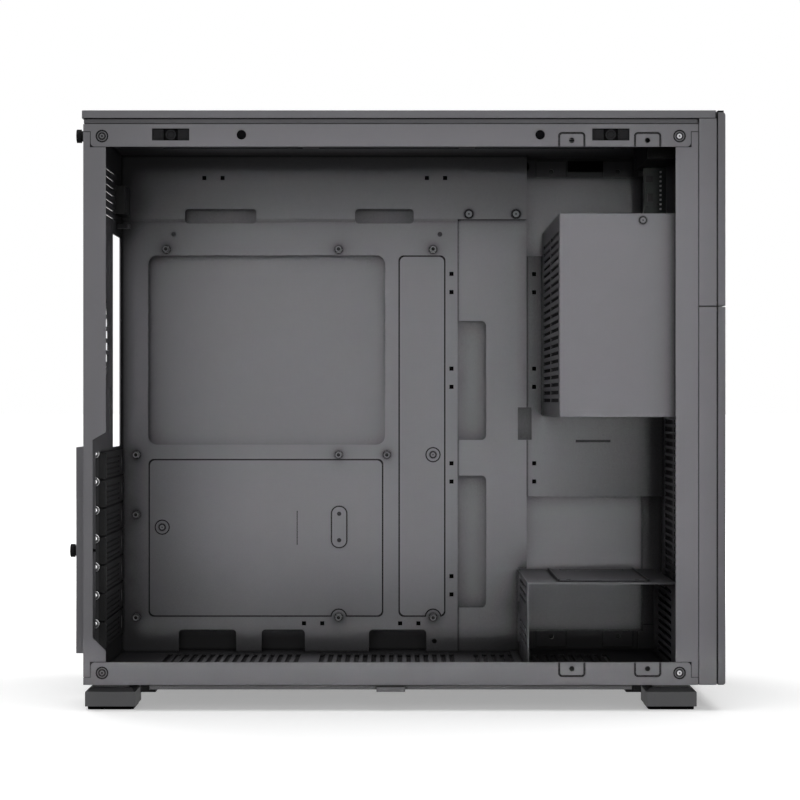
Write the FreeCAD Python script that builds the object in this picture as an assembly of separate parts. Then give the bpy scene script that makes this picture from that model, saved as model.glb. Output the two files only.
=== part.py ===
import FreeCAD
import Part
import os

# Overall chassis, measured over the folded sheets
sheet = 1.0
chassis_depth = 420.0
chassis_width = 202.0
chassis_height = 383.0
foot_height = 18.0
panel_depth = 3.0
fit_gap = 0.4
fold_overlap = 4.0
tiny = 0.000001
full_turn = 360.0
small_round_sides = 16
base_z = foot_height
top_z = base_z + chassis_height

# Front and rear reach beyond the chassis, which centre the part on its origin
front_frame_depth = 12.5
front_gap = 1.0
front_plate_thick = 5.0
thumb_head_long = 5.5
guard_reach = 7.0

# Side frames
flange_wide = 15.4
lap_step = 5.0
flange_round = 2.8
corner_screw_in = 12.8
corner_screw_down = 8.2
corner_head_radius = 4.0
lap_tab_long = 19.0
clip_window_long = 25.4
clip_window_high = 8.2
clip_down = 7.1
clip_rear_in = 59.7
clip_front_in = chassis_depth - clip_rear_in
bumper_radius = 3.3
bumper_rear_in = 108.0
bumper_front_in = chassis_depth - bumper_rear_in
bumper_down = 7.3
press_tab_long = 18.6
press_tab_high = 10.0
press_tab_rear_reach = 86.4
press_tab_front_reach = 34.6
press_tab_rear_in = chassis_depth - press_tab_rear_reach
press_tab_front_in = chassis_depth - press_tab_front_reach
press_tab_hole = 1.8
press_tab_hole_rise = 4.3
press_tab_gap = 1.4

# Vents in the top and bottom sheets
vent_field_count = 3
vent_field_start = 40.0
vent_field_end = 44.0
vent_field_gap = 12.0
vent_room = chassis_depth - vent_field_start - vent_field_end + vent_field_gap
vent_field_pitch = vent_room / vent_field_count
vent_long = vent_field_pitch - vent_field_gap
vent_slot_count = 8
vent_slot_pitch = 12.0
vent_slot_wide = 6.0
vent_side_in = 45.0
floor_slot_count = 16
floor_slot_wide = 3.5
floor_slot_rows = 2
floor_slot_near = 34.0
floor_slot_far = 168.0
floor_slot_post = 10.0

# Space behind the tray, which sets the depth of all that lines up with the board
tray_space = 20.0
tray_depth = chassis_width - tray_space

# Rear sheet
rear_recess = 1.8
column_notch_high = 185.3
column_notch_low = 50.0
column_notch_in = 6.4
column_notch_slope_top = 5.8
column_notch_slope_low = 9.9
io_wide = 44.45
io_from_tray = 6.55
io_near = tray_depth - io_from_tray - io_wide
io_high = 158.75
io_low = 177.6
slot_count = 7
slot_pitch = 20.32
first_slot_height = 165.6
slot_open_high = 13.0
slot_shelf_from_tray = 110.0
slot_shelf_depth = tray_depth - slot_shelf_from_tray
slot_far_gap = 5.0
slot_far = tray_depth - slot_far_gap
slot_window_wide = 32.0
slot_window_near = slot_shelf_depth - slot_window_wide
slot_shelf_reach = 9.0
slot_shelf_extra = 20.5
slot_hole_radius = 2.0
square_hole_in = 1.7
slot_hole_out = 3.9
slot_hole_rise = 8.7
square_hole_low = 180.3
square_hole_high = 4.3
rear_vent_near = 26.0
rear_vent_margin = 7.0
rear_vent_low = 347.0
rear_vent_pitch = 5.6
rear_vent_high = 0.9
rear_vent_count = 7
fan_shift = 6.0
fan_centre_depth = (io_near - fan_shift) / 2
fan_centre_height = 257.5
fan_hole_spacing = 105.0
fan_slot_long = 30.0
fan_slot_radius = 2.2
fan_vent_radius = 44.0
fan_bar_count = 10
fan_bar_pitch = 8.6
fan_bar_open = 5.4
fan_spine_wide = 6.0
hook_long = 10.0
hook_high = 3.0
hook_wide = 8.0
hook_rise = 342.0
hook_from_tray = 32.0
hook_depth = tray_depth - hook_from_tray

# Power inlet
inlet_from_tray = 35.0
inlet_near = tray_depth - inlet_from_tray
inlet_wide = 27.0
rear_vent_far = inlet_near - rear_vent_margin
inlet_low = 352.0
inlet_high = 22.0
inlet_rim = 5.0
inlet_long = 8.0
inlet_pocket = 6.5
inlet_wall = 3.0
blade_wide = 2.0
blade_high = 4.0
blade_long = 2.5

# Expansion slot covers
cover_wide = 18.6
cover_end_gap = 0.6
cover_far = tray_depth - cover_end_gap
cover_lip = 2.4
cover_slot_count = 4
cover_slot_pitch = 3.8
cover_slot_high = 1.6
cover_groove_deep = 0.6
cover_slot_start = 8.0
cover_slot_run = 80.0
cover_slot_near = slot_shelf_depth + cover_slot_start
cover_slot_far = cover_slot_near + cover_slot_run
cover_notch_wide = 5.0
cover_notch_high = 9.0

# Outer cover over the slot tabs
guard_near = 14.0
guard_clear = 5.0
guard_far = slot_shelf_depth - guard_clear
guard_low = 38.0
guard_high = 142.0
guard_screw_depth = 27.0
guard_screw_height = 108.0
thumb_head_radius = 4.6
thumb_shank_radius = 1.6
thumb_hole_radius = 2.0
panel_thumb_depth = 8.0
panel_thumb_down = 7.4
panel_thumb_height = top_z - panel_thumb_down
panel_thumb_out = 0.2

# Front sheet
front_vent_columns = 3
front_vent_rows = 32
front_vent_near = 22.0
front_vent_pitch = 54.0
front_vent_wide = 46.0
front_vent_low = 24.0
front_vent_rise = 5.5
front_vent_high = 3.4

# Motherboard tray and its holes
tray_step = 2.0
psu_from_front = 94.3
psu_start = chassis_depth - psu_from_front
cable_gap = 12.2
band_long = psu_start - cable_gap
tray_step_down = 51.7
tray_step_height = top_z - tray_step_down
board_first_column = 14.3
board_column_gap = 154.94
board_edge_gap = 72.39
board_top_shift = 22.86
board_extra_shift = 36.96
board_second_column = board_first_column + board_column_gap
board_third_column = board_second_column + board_edge_gap
board_top_first_column = board_first_column + board_top_shift
board_extra_column = board_second_column + board_extra_shift
tray_beyond_board = 18.87
tray_long = board_third_column + tray_beyond_board
board_top_row = 328.1
board_row_drop = 157.48
board_micro_drop = 45.72
board_low_drop = 124.46
standoff_high = 6.5
standoff_radius = 2.7
hex_sides = 6
standoff_hole = 1.5
standoff_hole_deep = 5.0
cpu_start = 23.0
cpu_end = 204.8
cpu_low = 178.3
cpu_high = 323.6
cpu_round = 7.0
top_cut_one = 51.3
top_cut_one_long = 54.9
top_cut_two = 181.8
top_cut_two_long = 45.0
top_cut_below_step = 1.3
top_cut_low = tray_step_height - top_cut_below_step
top_cut_high = 11.0
top_cut_round = 3.0
low_cut_one = 46.6
low_cut_two = 110.1
low_cut_three = 192.5
low_cut_wide = 44.0
low_cut_narrow = 33.2
low_cut_top = 36.5
tie_hole = 3.2
tie_span = 17.2
tie_band_down = 18.2
tie_band_rise = top_z - tie_band_down
tie_band_one = 73.3
tie_band_two = 243.9
tie_edge_in = 255.8
tie_first_height = 302.4
tie_pitch = 72.7
tie_count = 3
tie_last_height = 70.4
tie_low_rise = 41.2
tie_low_one = 149.6
tie_low_two = 223.4
plain_hole = 1.9
plain_rise = 339.8
plain_one = 42.6
plain_two = 246.9
plain_low_in = 242.6
plain_low_rise = 27.5
emboss_radius = 3.2
emboss_high = 0.6
emboss_above_step = 5.8
emboss_rise = tray_step_height + emboss_above_step
emboss_from_tray = 8.6
emboss_one = tray_long + emboss_from_tray
emboss_from_edge = 8.1
emboss_two = band_long - emboss_from_edge

# Plates set into the tray
plate_gap = 1.1
plate_rim = 4.0
plate_notch = 5.4
plate_round = 4.0
narrow_from_edge = 9.3
narrow_plate_wide = 36.1
narrow_plate_end = tray_long - narrow_from_edge
narrow_plate_start = narrow_plate_end - narrow_plate_wide
narrow_plate_high = 323.6
plates_apart = 11.6
drive_plate_start = 23.3
drive_plate_end = narrow_plate_start - plates_apart
drive_plate_low = 46.2
drive_plate_high = 167.4
boss_start = 164.2
boss_wide = 10.8
boss_low = 99.8
boss_high = 30.7
boss_proud = 0.8
boss_hole = 1.7
boss_hole_in = 5.2
plate_slit_in = 137.0
plate_slit_low = 101.5
plate_slit_high = 26.0
plate_slit_wide = 0.8
plate_slit_deep = 0.3
plate_screw_in = 33.8
plate_screw_height = 115.0
plate_screw_radius = 2.5
plate_screw_high = 0.9
plate_ring_radius = 5.0
groove_wide = 0.9
groove_deep = 0.9

# Cable strip and plate behind the power supply
strip_lap = 2.0
strip_above_step = 7.7
strip_top = tray_step_height + strip_above_step
strip_slot_share = 0.415
strip_slot_wide = (band_long - tray_long) * strip_slot_share
strip_slot_low = 53.2
strip_slot_low_high = 101.4
strip_slot_top = 181.9
strip_slot_top_high = 91.4
strip_slot_round = 4.0
strip_notch_deep = 6.7
strip_notch_in = band_long - strip_notch_deep
strip_notch_low = 182.0
strip_notch_high = 25.0
back_down = 78.0
back_plate_high = 184.4
back_high = top_z - back_down
back_low = back_high - back_plate_high
back_slit_from_psu = 25.6
back_slit_in = psu_start + back_slit_from_psu
back_slit_long = 26.8
back_slit_rise = 180.0
back_slit_high = 2.0
back_tie_before_psu = 6.3
back_tie_in = psu_start - back_tie_before_psu

# Power supply cover
psu_near = 6.5
psu_down = 60.5
psu_cover_high = 139.5
psu_high = top_z - psu_down
psu_low = psu_high - psu_cover_high
psu_slot_rows = 22
psu_slot_pitch = 5.5
psu_slot_high = 2.6
psu_slot_margin = 10.0
psu_slot_low = psu_low + psu_slot_margin
psu_slot_near = 16.0
psu_slot_break = 8.0
psu_slot_far_in = 14.0
psu_slot_long = (tray_depth - psu_slot_near - psu_slot_break - psu_slot_far_in) / 2
psu_screw_along = 57.2
psu_screw_in = psu_start + psu_screw_along
psu_screw_down = 3.6
psu_screw_radius = 2.6
psu_hole_long = 138.0
psu_hole_wide = 64.0
psu_hole_radius = 2.1
psu_window_margin = 9.0

# Drive cage
cage_from_front = 8.0
cage_long = 105.3
cage_end = chassis_depth - cage_from_front
cage_start = cage_end - cage_long
cage_depth = 128.0
cage_near = tray_depth - cage_depth
cage_top = 83.0
cage_foot = 6.0
cage_hole = 1.9
cage_hole_first = 24.0
cage_hole_pitch = 60.0
cage_hole_count = 2
cage_bay_first = 28.0
cage_bay_pitch = 30.0
cage_bay_count = 2
cage_window_near = 106.0
cage_window_long = 16.0
cage_window_high = 24.0
cage_slot_near = 22.0
cage_slot_long = 78.0
cage_slot_high = 2.6
cage_slot_pitch = 5.5
cage_slot_rise = 7.0
cage_slot_count = 3
cage_louvre_count = 10
cage_louvre_low = 24.0
small_tray_in = 22.3
small_tray_long = 65.0
small_tray_start = cage_start + small_tray_in
small_tray_end = small_tray_start + small_tray_long
small_tray_edge = 10.0
small_tray_near = cage_near + small_tray_edge
small_tray_far = tray_depth - small_tray_edge
small_tray_high = 2.0
small_tray_slot = 6.0
small_tray_hole_in = 8.0

# Front frames, plates and trim
front_split_down = 124.4
front_split = top_z - front_split_down
front_split_gap = 0.8
front_rim = 9.0
front_seat = 0.5
front_seat_in = 3.0
front_plate_rise = 8.0
front_plate_top = top_z + front_plate_rise
front_trim_high = 1.4
front_slot_columns = 3
front_slot_rows = 28
front_slot_side_in = 12.0
front_slot_end_in = 12.0
front_slot_post = 5.0
front_slot_bar = 3.0
front_round = 2.0

# Top frame and cover
cover_gap = 4.2
cover_high = 5.2
cover_bottom = top_z + cover_gap
cover_top = cover_bottom + cover_high
cover_overhang = 1.2
ledge_gap = 0.5
ledge_high = 2.8
frame_ledge_low = top_z + ledge_gap
frame_ledge_high = frame_ledge_low + ledge_high
frame_wall = 3.0
frame_inset = 3.4
frame_bar_reach = 32.0
frame_bar = chassis_depth - frame_bar_reach
cover_slot_columns = 28
cover_slot_rows = 3
cover_slot_side_in = 14.0
cover_slot_reach = 40.0
cover_slot_front = chassis_depth - cover_slot_reach
cover_slot_post = 6.0
cover_slot_bar = 5.0
cover_round = 2.0

# Port module in the top
port_from_front = 7.0
port_long = 21.0
port_end = chassis_depth - port_from_front
port_start = port_end - port_long
port_near = 62.0
port_far = 146.0
port_rise = 9.0
port_block_high = 26.0
port_high = top_z + port_rise
port_low = port_high - port_block_high
button_depth = 78.0
button_radius = 6.0
button_proud = 0.2
button_long = 6.2
button_top = port_high + button_proud
button_low = button_top - button_long
button_travel = 1.5
usb_a_depth = 100.0
usb_a_wide = 13.2
usb_a_high = 5.8
usb_c_depth = 119.0
usb_c_wide = 9.0
usb_c_high = 3.4
audio_depth = 134.0
audio_radius = 3.4
audio_hole = 1.8
port_deep = 10.0
port_shell = 0.6
tongue_wide_share = 0.7
tongue_high_share = 0.3
board_long = 17.0
board_high = 34.0
board_depth = 120.0
board_thick = 1.6
pin_count = 9
pin_pitch = 3.4
pin_size = 1.2
pin_long = 2.4
pin_in = 12.0
pin_low_in = 3.0

# Feet and bottom filter
foot_size = 34.5
foot_side_in = 8.0
foot_neck_in = 4.8
foot_neck_high = 3.1
foot_chamfer = 2.8
pad_in = 1.5
pad_high = 2.2
filter_start = 45.0
filter_end = chassis_depth - filter_start
filter_near = 4.0
filter_far_gap = 6.0
filter_far = chassis_width - filter_far_gap
filter_low = 14.4
filter_high = 17.4
filter_rim = 8.0
filter_bar = 4.0
filter_columns = 4
filter_mesh_high = 0.6
rail_wide = 6.0
rail_lip = 4.0
rail_low = 12.6
rail_clear = 0.5
tab_long = 19.7
tab_start = (chassis_depth - tab_long) / 2
tab_low = 13.2
tab_reach = 3.5

rear_reach = guard_reach + thumb_head_long
front_reach = chassis_depth + front_frame_depth + front_gap + front_plate_thick
rear_x = (rear_reach - front_reach) / 2
front_x = rear_x + chassis_depth
total_width = chassis_width + panel_depth
left_y = -total_width / 2
right_y = left_y + chassis_width
wall_out = rear_recess
wall_in = rear_recess + sheet
front_in = chassis_depth - sheet
tray_far = tray_depth + sheet
strip_far = tray_far + sheet
back_far = strip_far + sheet


def box(u0, u1, d0, d1, z0, z1):
    """Block from distances in front of the rear edge, depths from the left face and heights."""
    corner = FreeCAD.Vector(rear_x + u0, left_y + d0, z0)
    return Part.makeBox(u1 - u0, d1 - d0, z1 - z0, corner)


def rod(axis, u, d, z, radius, long):
    """Cylinder that starts at a point and runs along one axis."""
    start = FreeCAD.Vector(rear_x + u, left_y + d, z)
    return Part.makeCylinder(radius, long, start, axis)


def peg(axis, u, d, z, radius, long, sides=small_round_sides):
    """Many-sided rod for the small heads and holes that repeat, which keeps the facets few."""
    centre = FreeCAD.Vector(rear_x + u, left_y + d, z)
    spoke = FreeCAD.Vector(axis.y, axis.z, axis.x) * radius
    turn = FreeCAD.Rotation(axis, full_turn / sides)
    points = []
    for index in range(sides):
        points.append(centre + spoke)
        spoke = turn.multVec(spoke)
    return prism(points, axis * long)


ALONG_X = FreeCAD.Vector(1, 0, 0)
ALONG_Y = FreeCAD.Vector(0, 1, 0)
ALONG_Z = FreeCAD.Vector(0, 0, 1)


def fuse(shapes):
    """One solid from several that meet."""
    return shapes[0].multiFuse(shapes[1:]).removeSplitter()


def is_along(edge, axis):
    """True for a straight edge along the axis."""
    if edge.Closed:
        return False
    run = edge.Vertexes[1].Point - edge.Vertexes[0].Point
    return run.cross(axis).Length < sheet * tiny


def round_edges(shape, axis, radius, keep=None):
    """Fillet the edges along an axis, all of them or those a test keeps."""
    edges = [edge for edge in shape.Edges if is_along(edge, axis)]
    if keep:
        edges = [edge for edge in edges if keep(edge.CenterOfMass)]
    return shape.makeFillet(radius, edges)


def prism(points, direction):
    """Solid swept from a closed outline of points."""
    outline = Part.makePolygon(points + points[:1])
    return Part.Face(outline).extrude(direction)


def side_prism(outline, d0, d1):
    """Sweep an outline of distances and heights across the width."""
    points = [FreeCAD.Vector(rear_x + u, left_y + d0, z) for u, z in outline]
    return prism(points, ALONG_Y * (d1 - d0))


def long_prism(outline, u0, u1):
    """Sweep an outline of depths and heights along the case."""
    points = [FreeCAD.Vector(rear_x + u0, left_y + d, z) for d, z in outline]
    return prism(points, ALONG_X * (u1 - u0))


def slot_across(u, d0, d1, z, radius, long):
    """Slot with round ends that stands upright and cuts through along the case."""
    middle = box(u - sheet, u + sheet + sheet, d0, d1, z - long / 2, z + long / 2)
    centre = (d0 + d1) / 2
    low = peg(ALONG_X, u - sheet, centre, z - long / 2, radius, sheet * 3)
    high = peg(ALONG_X, u - sheet, centre, z + long / 2, radius, sheet * 3)
    return fuse([middle, low, high])


def frame_box(u0, u1, d0, d1, z0, z1, rim):
    """Rectangular frame lying flat."""
    outer = box(u0, u1, d0, d1, z0, z1)
    return outer.cut(box(u0 + rim, u1 - rim, d0 + rim, d1 - rim, z0 - sheet, z1 + sheet))


def upright_frame(u0, u1, d0, d1, z0, z1, rim):
    """Rectangular frame standing across the case."""
    outer = box(u0, u1, d0, d1, z0, z1)
    return outer.cut(box(u0 - sheet, u1 + sheet, d0 + rim, d1 - rim, z0 + rim, z1 - rim))


def save(name, shape):
    """Write one node."""
    shape.exportStep("parts/" + name + ".step")


def sides():
    """Depth ranges of the outer and inner layers on the left and right faces."""
    left = ((0, sheet), (sheet, sheet * 2))
    right_outer = (chassis_width - sheet, chassis_width)
    right_inner = (chassis_width - sheet * 2, chassis_width - sheet)
    return (left, (right_outer, right_inner))


def corner_spots(edge_height, inward):
    """Screw centres near one rail's two ends."""
    height = edge_height + inward * corner_screw_down
    return ((corner_screw_in, height), (chassis_depth - corner_screw_in, height))


def rail(edge_height, inward, layer):
    """Edge flange of the top or bottom sheet, with stepped ends rounded at the corners."""
    inner = edge_height + inward * flange_wide
    step = edge_height + inward * lap_step
    low, high = sorted((edge_height, inner))
    main = box(lap_step, chassis_depth - lap_step, layer[0], layer[1], low, high)
    main = round_edges(main, ALONG_Y, flange_round, lambda c: abs(c.z - inner) < sheet)
    low, high = sorted((edge_height, step))
    ends = box(0, chassis_depth, layer[0], layer[1], low, high)
    return fuse([main, ends])


def rail_cuts(edge_height, inward, layers):
    """Screw holes and tab notches of one rail."""
    outer = layers[0]
    cuts = []
    for u, z in corner_spots(edge_height, inward):
        cuts.append(peg(ALONG_Y, u, outer[0], z, corner_head_radius + fit_gap, sheet))
    inner = edge_height + inward * flange_wide
    for middle in (press_tab_rear_in, press_tab_front_in):
        low, high = sorted((inner, inner - inward * press_tab_high))
        start = middle - press_tab_long / 2
        notch = box(start, start + press_tab_long, outer[0], outer[1], low, high)
        cuts.append(round_edges(notch, ALONG_Y, flange_round, lambda c: abs(c.z - inner) > sheet))
    return cuts


def press_tabs(edge_height, inward, layers):
    """Tabs that fill the notches but for a narrow gap, each on a backing with its hole."""
    outer, layer = layers
    inner = edge_height + inward * flange_wide
    far = inner - inward * (press_tab_high + fold_overlap / 2)
    low, high = sorted((inner, far))
    tabs = []
    for middle in (press_tab_rear_in, press_tab_front_in):
        start = middle - press_tab_long / 2 - fold_overlap / 2
        end = start + press_tab_long + fold_overlap
        backing = box(start, end, layer[0], layer[1], low, high)
        half = press_tab_long / 2 - press_tab_gap
        edge = inner - inward * (press_tab_high - press_tab_gap)
        face = box(middle - half, middle + half, outer[0], outer[1], min(inner, edge), max(inner, edge))
        face = round_edges(face, ALONG_Y, flange_round - press_tab_gap, lambda c: abs(c.z - inner) > sheet)
        height = inner - inward * press_tab_hole_rise
        hole = peg(ALONG_Y, middle, outer[0] - sheet, height, press_tab_hole, sheet * 3)
        tabs.append(fuse([backing, face]).cut(hole))
    return tabs


def vent_slots(z):
    """Fields of slots through a flat sheet, one per fan position."""
    slots = []
    for field in range(vent_field_count):
        for row in range(vent_slot_count):
            start = vent_field_start + field * vent_field_pitch
            depth = vent_side_in + row * vent_slot_pitch
            far = depth + vent_slot_wide
            slots.append(box(start, start + vent_long, depth, far, z - sheet, z + sheet * 2))
    return slots


def floor_slots(z):
    """Fields of narrow slots across the bottom sheet, in two rows."""
    pitch = vent_long / floor_slot_count
    step = (floor_slot_far - floor_slot_near + floor_slot_post) / floor_slot_rows
    slots = []
    for field in range(vent_field_count):
        for index in range(floor_slot_count):
            start = vent_field_start + field * vent_field_pitch + index * pitch
            for row in range(floor_slot_rows):
                near = floor_slot_near + row * step
                slots.append(box(start, start + floor_slot_wide, near, near + step - floor_slot_post,
                                 z - sheet, z + sheet * 2))
    return slots


def clip_windows():
    """Openings in both top rails for the panel clips and the bumpers."""
    cuts = []
    for layers in sides():
        outer = layers[0]
        for u in (clip_rear_in, clip_front_in):
            start = u - clip_window_long / 2
            low = top_z - clip_down - clip_window_high / 2
            cuts.append(box(start, start + clip_window_long, outer[0], outer[1], low,
                            low + clip_window_high))
        for u in (bumper_rear_in, bumper_front_in):
            cuts.append(peg(ALONG_Y, u, outer[0], top_z - bumper_down, bumper_radius, sheet))
    return cuts


def flanged_sheet(z0, edge_height, inward, slots):
    """Flat slotted sheet with a rail folded along each long side."""
    plate = box(0, chassis_depth, 0, chassis_width, z0, z0 + sheet)
    shapes = [plate]
    cuts = []
    for layers in sides():
        shapes.append(rail(edge_height, inward, layers[0]))
        cuts.extend(rail_cuts(edge_height, inward, layers))
    folded = fuse(shapes).cut(cuts + slots)
    tabs = []
    for layers in sides():
        tabs.extend(press_tabs(edge_height, inward, layers))
    return fuse([folded] + tabs)


def chassis_top():
    """Top sheet with its rails, clip windows and the opening for the ports."""
    port_hole = box(port_start - fit_gap, port_end + fit_gap, port_near - fit_gap, port_far + fit_gap,
                    top_z - sheet * 2, top_z + sheet)
    slots = vent_slots(top_z - sheet)
    return flanged_sheet(top_z - sheet, top_z, -1, slots).cut(clip_windows() + [port_hole])


def chassis_bottom():
    """Bottom sheet with its rails."""
    return flanged_sheet(base_z, base_z, 1, floor_slots(base_z))


def column(edge, inward, layer):
    """Upright flange of the rear or front sheet, stepped to clear the rails."""
    inner = edge + inward * flange_wide
    step = edge + inward * (lap_step - fit_gap)
    low_end = base_z + lap_step + fit_gap
    low_in = base_z + flange_wide + fit_gap
    high_end = top_z - lap_step - fit_gap
    high_in = top_z - flange_wide - fit_gap
    outline = [(edge, low_end), (step, low_end), (step, low_in), (inner, low_in),
               (inner, high_in), (step, high_in), (step, high_end), (edge, high_end)]
    return side_prism(outline, layer[0], layer[1])


def lap_tabs(edge, inward, layer):
    """Tabs behind the rails' ends that take the corner screws."""
    tabs = []
    hidden = flange_wide - fit_gap
    lapped = flange_wide + fit_gap + fold_overlap
    for rail_edge, turn in ((top_z, -1), (base_z, 1)):
        near = rail_edge + turn * sheet
        for reach, rise in ((lap_tab_long, hidden), (hidden, lapped)):
            start, end = sorted((edge + inward * fit_gap, edge + inward * reach))
            low, high = sorted((near, rail_edge + turn * rise))
            tabs.append(box(start, end, layer[0], layer[1], low, high))
    return tabs


def end_sheet(edge, inward, u0):
    """Upright sheet between top and bottom, with a column folded along each side."""
    shapes = [box(u0, u0 + sheet, sheet, chassis_width - sheet, base_z + sheet, top_z - sheet)]
    for layers in sides():
        shapes.append(column(edge, inward, layers[0]))
        shapes.extend(lap_tabs(edge, inward, layers[1]))
    return fuse(shapes)


def fan_vent():
    """Round field of bars with a spine and four upright mounting slots."""
    field = rod(ALONG_X, 0, fan_centre_depth, fan_centre_height, fan_vent_radius, wall_in + sheet)
    bars = []
    for row in range(fan_bar_count):
        low = fan_centre_height + (row - fan_bar_count / 2) * fan_bar_pitch
        near = fan_centre_depth - fan_vent_radius
        far = fan_centre_depth + fan_vent_radius
        left_end = fan_centre_depth - fan_spine_wide / 2
        right_start = fan_centre_depth + fan_spine_wide / 2
        bars.append(box(0, wall_in + sheet, near, left_end, low, low + fan_bar_open))
        bars.append(box(0, wall_in + sheet, right_start, far, low, low + fan_bar_open))
    cuts = [bar.common(field) for bar in bars]
    for side in (-1, 1):
        depth = fan_centre_depth + side * fan_hole_spacing / 2
        for turn in (-1, 1):
            height = fan_centre_height + turn * fan_hole_spacing / 2
            cuts.append(slot_across(wall_out, depth - fan_slot_radius, depth + fan_slot_radius,
                                    height, fan_slot_radius, fan_slot_long))
    return cuts


def slot_heights():
    """Centre height of each expansion slot."""
    return [first_slot_height - slot_pitch * index for index in range(slot_count)]


def rear_cuts():
    """Openings in the rear sheet."""
    through = (wall_out - sheet, wall_in + sheet)
    cuts = [box(through[0], through[1], io_near, io_near + io_wide, io_low, io_low + io_high)]
    for z in slot_heights():
        low = z - slot_open_high / 2
        cuts.append(box(through[0], through[1], slot_shelf_depth + sheet, slot_far, low,
                        low + slot_open_high))
    window_low = slot_heights()[-1] - slot_pitch / 2
    window_high = first_slot_height + slot_pitch / 2
    cuts.append(box(through[0], through[1], slot_window_near, slot_shelf_depth, window_low, window_high))
    for row in range(rear_vent_count):
        low = rear_vent_low + row * rear_vent_pitch
        cuts.append(box(through[0], through[1], rear_vent_near, rear_vent_far, low, low + rear_vent_high))
    cuts.append(box(through[0], through[1], inlet_near, inlet_near + inlet_wide,
                    inlet_low, inlet_low + inlet_high))
    cuts.append(peg(ALONG_X, through[0], guard_screw_depth, guard_screw_height, thumb_hole_radius,
                    sheet * 3))
    for depth in (panel_thumb_depth, chassis_width - panel_thumb_depth):
        cuts.append(peg(ALONG_X, through[0], depth, panel_thumb_height, thumb_hole_radius, sheet * 3))
    return cuts


def slot_shelf():
    """Shelf turned outwards along the slots, with a hole for each cover's tab."""
    low = slot_heights()[-1] - slot_pitch / 2
    high = first_slot_height + slot_shelf_extra
    shelf = box(-slot_shelf_reach, wall_in, slot_shelf_depth, slot_shelf_depth + sheet, low, high)
    holes = []
    for z in slot_heights():
        holes.append(peg(ALONG_Y, wall_out - slot_hole_out, slot_shelf_depth, z + slot_hole_rise,
                         slot_hole_radius, sheet))
    start = wall_out - slot_hole_out - square_hole_in
    holes.append(box(start, wall_out - sheet / 2, slot_shelf_depth, slot_shelf_depth + sheet,
                     square_hole_low, square_hole_low + square_hole_high))
    return shelf.cut(holes)


def chassis_rear():
    """Rear sheet with columns, port opening, slots, vents and a small cable hook."""
    whole = end_sheet(0, 1, wall_out)
    notch = [(flange_wide + sheet, column_notch_high + column_notch_slope_top),
             (column_notch_in, column_notch_high), (column_notch_in, column_notch_low),
             (flange_wide + sheet, column_notch_low - column_notch_slope_low)]
    cut = whole.cut(rear_cuts() + fan_vent() + [side_prism(notch, 0, sheet)])
    hook = box(wall_in, wall_in + hook_long, hook_depth, hook_depth + hook_wide, hook_rise,
               hook_rise + hook_high)
    hook = round_edges(hook, ALONG_Z, hook_wide / 3, lambda c: c.x > rear_x + wall_in + sheet)
    return fuse([cut, slot_shelf(), hook])


def chassis_front():
    """Front sheet with columns and a field of air slots."""
    whole = end_sheet(chassis_depth, -1, front_in)
    slots = []
    for column_index in range(front_vent_columns):
        for row in range(front_vent_rows):
            near = front_vent_near + column_index * front_vent_pitch
            low = front_vent_low + row * front_vent_rise
            slots.append(box(front_in - sheet, chassis_depth + sheet, near, near + front_vent_wide,
                             low, low + front_vent_high))
    return whole.cut(slots)


def corner_screws():
    """Flat screw heads that hold the sheets together at every corner."""
    screws = []
    for edge, inward in ((top_z, -1), (base_z, 1)):
        for u, z in corner_spots(edge, inward):
            for layers in sides():
                screws.append(peg(ALONG_Y, u, layers[0][0], z, corner_head_radius, sheet))
    return Part.makeCompound(screws)


def one_clip(u, layers):
    """Sprung clip: a back plate, two square jaws and a round socket in the window."""
    outer, inner = layers
    low = top_z - clip_down - clip_window_high / 2
    start = u - clip_window_long / 2
    back = box(start - sheet, start + clip_window_long + sheet, inner[0], inner[1], low,
               low + clip_window_high)
    jaw_low = low + fit_gap
    jaw_high = low + clip_window_high - fit_gap
    third = clip_window_long / 3
    first = box(start + fit_gap, start + third - fit_gap, outer[0], outer[1], jaw_low, jaw_high)
    last = box(start + 2 * third + fit_gap, start + clip_window_long - fit_gap, outer[0], outer[1],
               jaw_low, jaw_high)
    ring = peg(ALONG_Y, u, outer[0], top_z - clip_down, third / 2 - fit_gap, sheet)
    hollow = peg(ALONG_Y, u, outer[0], top_z - clip_down, third / 4, sheet)
    return fuse([back, first, last, ring.cut(hollow)])


def panel_clips():
    """Clips on both top rails."""
    clips = [one_clip(u, layers) for layers in sides() for u in (clip_rear_in, clip_front_in)]
    return Part.makeCompound(clips)


def bumpers():
    """Rubber plugs in both top rails."""
    plugs = []
    for layers in sides():
        outer, inner = layers
        for u in (bumper_rear_in, bumper_front_in):
            front = peg(ALONG_Y, u, outer[0], top_z - bumper_down, bumper_radius - fit_gap, sheet)
            back = peg(ALONG_Y, u, inner[0], top_z - bumper_down, bumper_radius + sheet, sheet)
            plugs.append(fuse([front, back]))
    return Part.makeCompound(plugs)


def tie_pair(u, z, d, upright):
    """Two small square holes with a bar left between them for a cable tie."""
    half = tie_hole / 2
    holes = []
    for turn in (-1, 1):
        offset = turn * (tie_span - tie_hole) / 2
        centre_u = u if upright else u + offset
        centre_z = z + offset if upright else z
        holes.append(box(centre_u - half, centre_u + half, d - sheet * 3, d + sheet * 3,
                         centre_z - half, centre_z + half))
    return holes


def board_rows():
    """Heights of the four rows of board holes."""
    second = board_top_row - board_row_drop
    return (board_top_row, second, second - board_micro_drop, second - board_low_drop)


def board_points():
    """Every standoff position on the tray."""
    top, second, micro, low = board_rows()
    points = [(u, top) for u in (board_top_first_column, board_second_column, board_third_column)]
    points += [(u, second) for u in (board_first_column, board_second_column, board_extra_column)]
    points += [(board_first_column, micro)]
    points += [(u, low) for u in (board_first_column, board_second_column, board_third_column)]
    return points


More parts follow.
